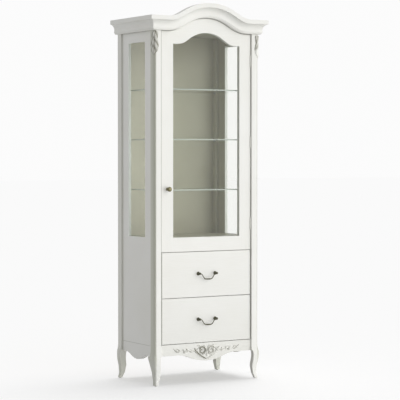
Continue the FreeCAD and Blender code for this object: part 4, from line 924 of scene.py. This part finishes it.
def screw(x, z, radius=3.6, high=1.8, rows=22, count=64):
    """Dome over r: from RIM at the edge to high in the middle by 1 - (r / radius)^4, less
    CROSS_DEEP inside a cross with arms of CROSS_HALF to each side and CROSS_REACH long. A skirt
    runs from the edge into the board."""
    r = np.append(radius, np.linspace(radius, 0.05, rows))[:, None]
    turn = full_turn(count)[None, :]
    across, up = r * np.cos(turn), r * np.sin(turn)
    arm = np.minimum(np.abs(across), np.abs(up))
    inside = np.clip((CROSS_HALF - arm) / CROSS_SLOPE, 0, 1)
    cross = inside * np.clip((CROSS_REACH - r) / CROSS_SLOPE, 0, 1)
    stand = RIM + (high - RIM) * (1 - (r / radius) ** 4) - CROSS_DEEP * cross
    stand[0] = SKIRT
    return ring_stack(np.stack([x + across, BACK_Y + stand, z + up], -1)[:, ::-1])


heads = [screw(x, z) for z in SCREW_ROWS for x in SCREW_COLUMNS]
make_piece("dome_headed_screws", heads, steel, "carcass", ["back_panel_screws"], crease=30)

# %% [markdown]
# ## Floor
# The cabinet stands on a plain white floor with a white background, and only its soft shadow shows.
# Bright lamps would wash the paint out, so the white isn't made with light: what the camera sees of
# floor and background, directly, in a reflection or through glass, is white by itself, while the
# paint is lit at a plain level.

# %% White floor
FLOOR_GREY, FLOOR_LIFT, FLOOR_SIZE, FLOOR_DROP = 0.62, 0.465, 120, 0.0004
WHITE = (1, 1, 1, 1)


def seen(tree):
    """1 for rays from the camera, mirror reflections and glass; 0 for light that reaches dull
    surfaces."""
    path = add(tree, "LightPath").outputs
    rays = [path[f"Is {kind} Ray"] for kind in ("Camera", "Glossy", "Transmission")]
    return calc(tree, "MAXIMUM", *rays)


bpy.ops.mesh.primitive_plane_add(size=FLOOR_SIZE, location=(0, 0, -FLOOR_DROP))
floor = bpy.context.object
floor.name = "floor"
paper, tree, surface = start_finish("white_floor")
surface.inputs["Base Color"].default_value = (FLOOR_GREY, FLOOR_GREY, FLOOR_GREY, 1)
surface.inputs["Roughness"].default_value = 0.9
surface.inputs["Specular IOR Level"].default_value = 0.0
surface.inputs["Emission Color"].default_value = WHITE
lift = calc(tree, "MULTIPLY", seen(tree), FLOOR_LIFT)
tree.links.new(lift, surface.inputs["Emission Strength"])
floor.data.materials.append(paper)
print("floor", FLOOR_SIZE, "m wide, lifted by", FLOOR_LIFT)

# %% [markdown]
# ## Background
# The world behind the floor is split in the same way. Rays that are seen meet white, and the light
# that reaches the paint from all round is dimmer, so that the sides of the cabinet keep their
# shade.

# %% White background
AMBIENT, BACKGROUND = 0.36, 0.97
world = bpy.data.worlds.new("white_room")
bpy.context.scene.world = world
world.use_nodes = True
tree = world.node_tree
tree.nodes.clear()
dim = add(tree, "Background", {0: WHITE, 1: AMBIENT})
white = add(tree, "Background", {0: WHITE, 1: BACKGROUND})
both = add(tree, "MixShader", {0: seen(tree), 1: dim.outputs[0], 2: white.outputs[0]})
tree.links.new(both.outputs[0], add(tree, "OutputWorld").inputs["Surface"])
print("background", BACKGROUND, "ambient", AMBIENT)

# %% [markdown]
# ## Lamps
# A broad lamp in front and to the right lights the front and leaves the left side in a soft shade.
# A weak one from the left and behind lifts that side. The floor has a lamp of its own, almost
# straight above, so the shadow stays under the cabinet, as it does in a room with a pale ceiling.
# Distant lamps leave no bright pool on the floor, and a wide angle makes their shadows soft.

# %% Lamps
def lamp(name, towards, share, angle, floor_state):
    """Distant lamp in the given direction. A matt surface that faces it shows share times its own
    colour. The floor is left out of its light, or is the only thing it lights."""
    data = bpy.data.lights.new(name, "SUN")
    data.energy = math.pi * share
    data.angle = math.radians(angle)
    holder = bpy.data.objects.new(name, data)
    bpy.context.scene.collection.objects.link(holder)
    x, y, z = np.array(towards) / np.linalg.norm(towards)
    holder.rotation_euler = (math.acos(z), 0, math.atan2(x, -y))
    group = bpy.data.collections.new(name + "_lights")
    group.objects.link(floor)
    group.collection_objects[0].light_linking.link_state = floor_state
    holder.light_linking.receiver_collection = group
    if floor_state == "EXCLUDE":
        holder.light_linking.blocker_collection = group
    print(name, "energy", round(data.energy, 2))


lamp("front_right_lamp", towards=(0.62, -0.74, 0.16), share=0.72, angle=90, floor_state="EXCLUDE")
lamp("rear_left_lamp", towards=(-0.8, 0.35, 0.30), share=0.1, angle=90, floor_state="EXCLUDE")
lamp("floor_lamp", towards=(0.26, 0.14, 1.0), share=0.45, angle=40, floor_state="INCLUDE")

# %% [markdown]
# ## Camera
# The camera stands well to the left of the cabinet's front, at about the height of its middle, with
# a long lens, and looks down by a little more than a degree and a half. Its place and lens come
# from the cabinet's own straight edges.

# %% Camera
EYE = (-4.4576, -7.4409, 1.2076)
HEADING, FOCAL_PIXELS, MIDDLE_PIXELS = math.radians(31.3), 1612.6, 45.7
PICTURE_PIXELS, SENSOR_MM = 400, 36
tilt = math.atan2(MIDDLE_PIXELS, FOCAL_PIXELS)
lens = bpy.data.cameras.new("camera")
lens.lens = FOCAL_PIXELS * SENSOR_MM / PICTURE_PIXELS
lens.clip_end = 400
camera = bpy.data.objects.new("camera", lens)
bpy.context.scene.collection.objects.link(camera)
camera.location = EYE
camera.rotation_euler = (math.pi / 2 - tilt, 0, -HEADING)
bpy.context.scene.camera = camera
bpy.context.scene.view_settings.view_transform = "Standard"
print("lens", round(lens.lens, 1), "mm, tilt", round(math.degrees(tilt), 2), "degrees")
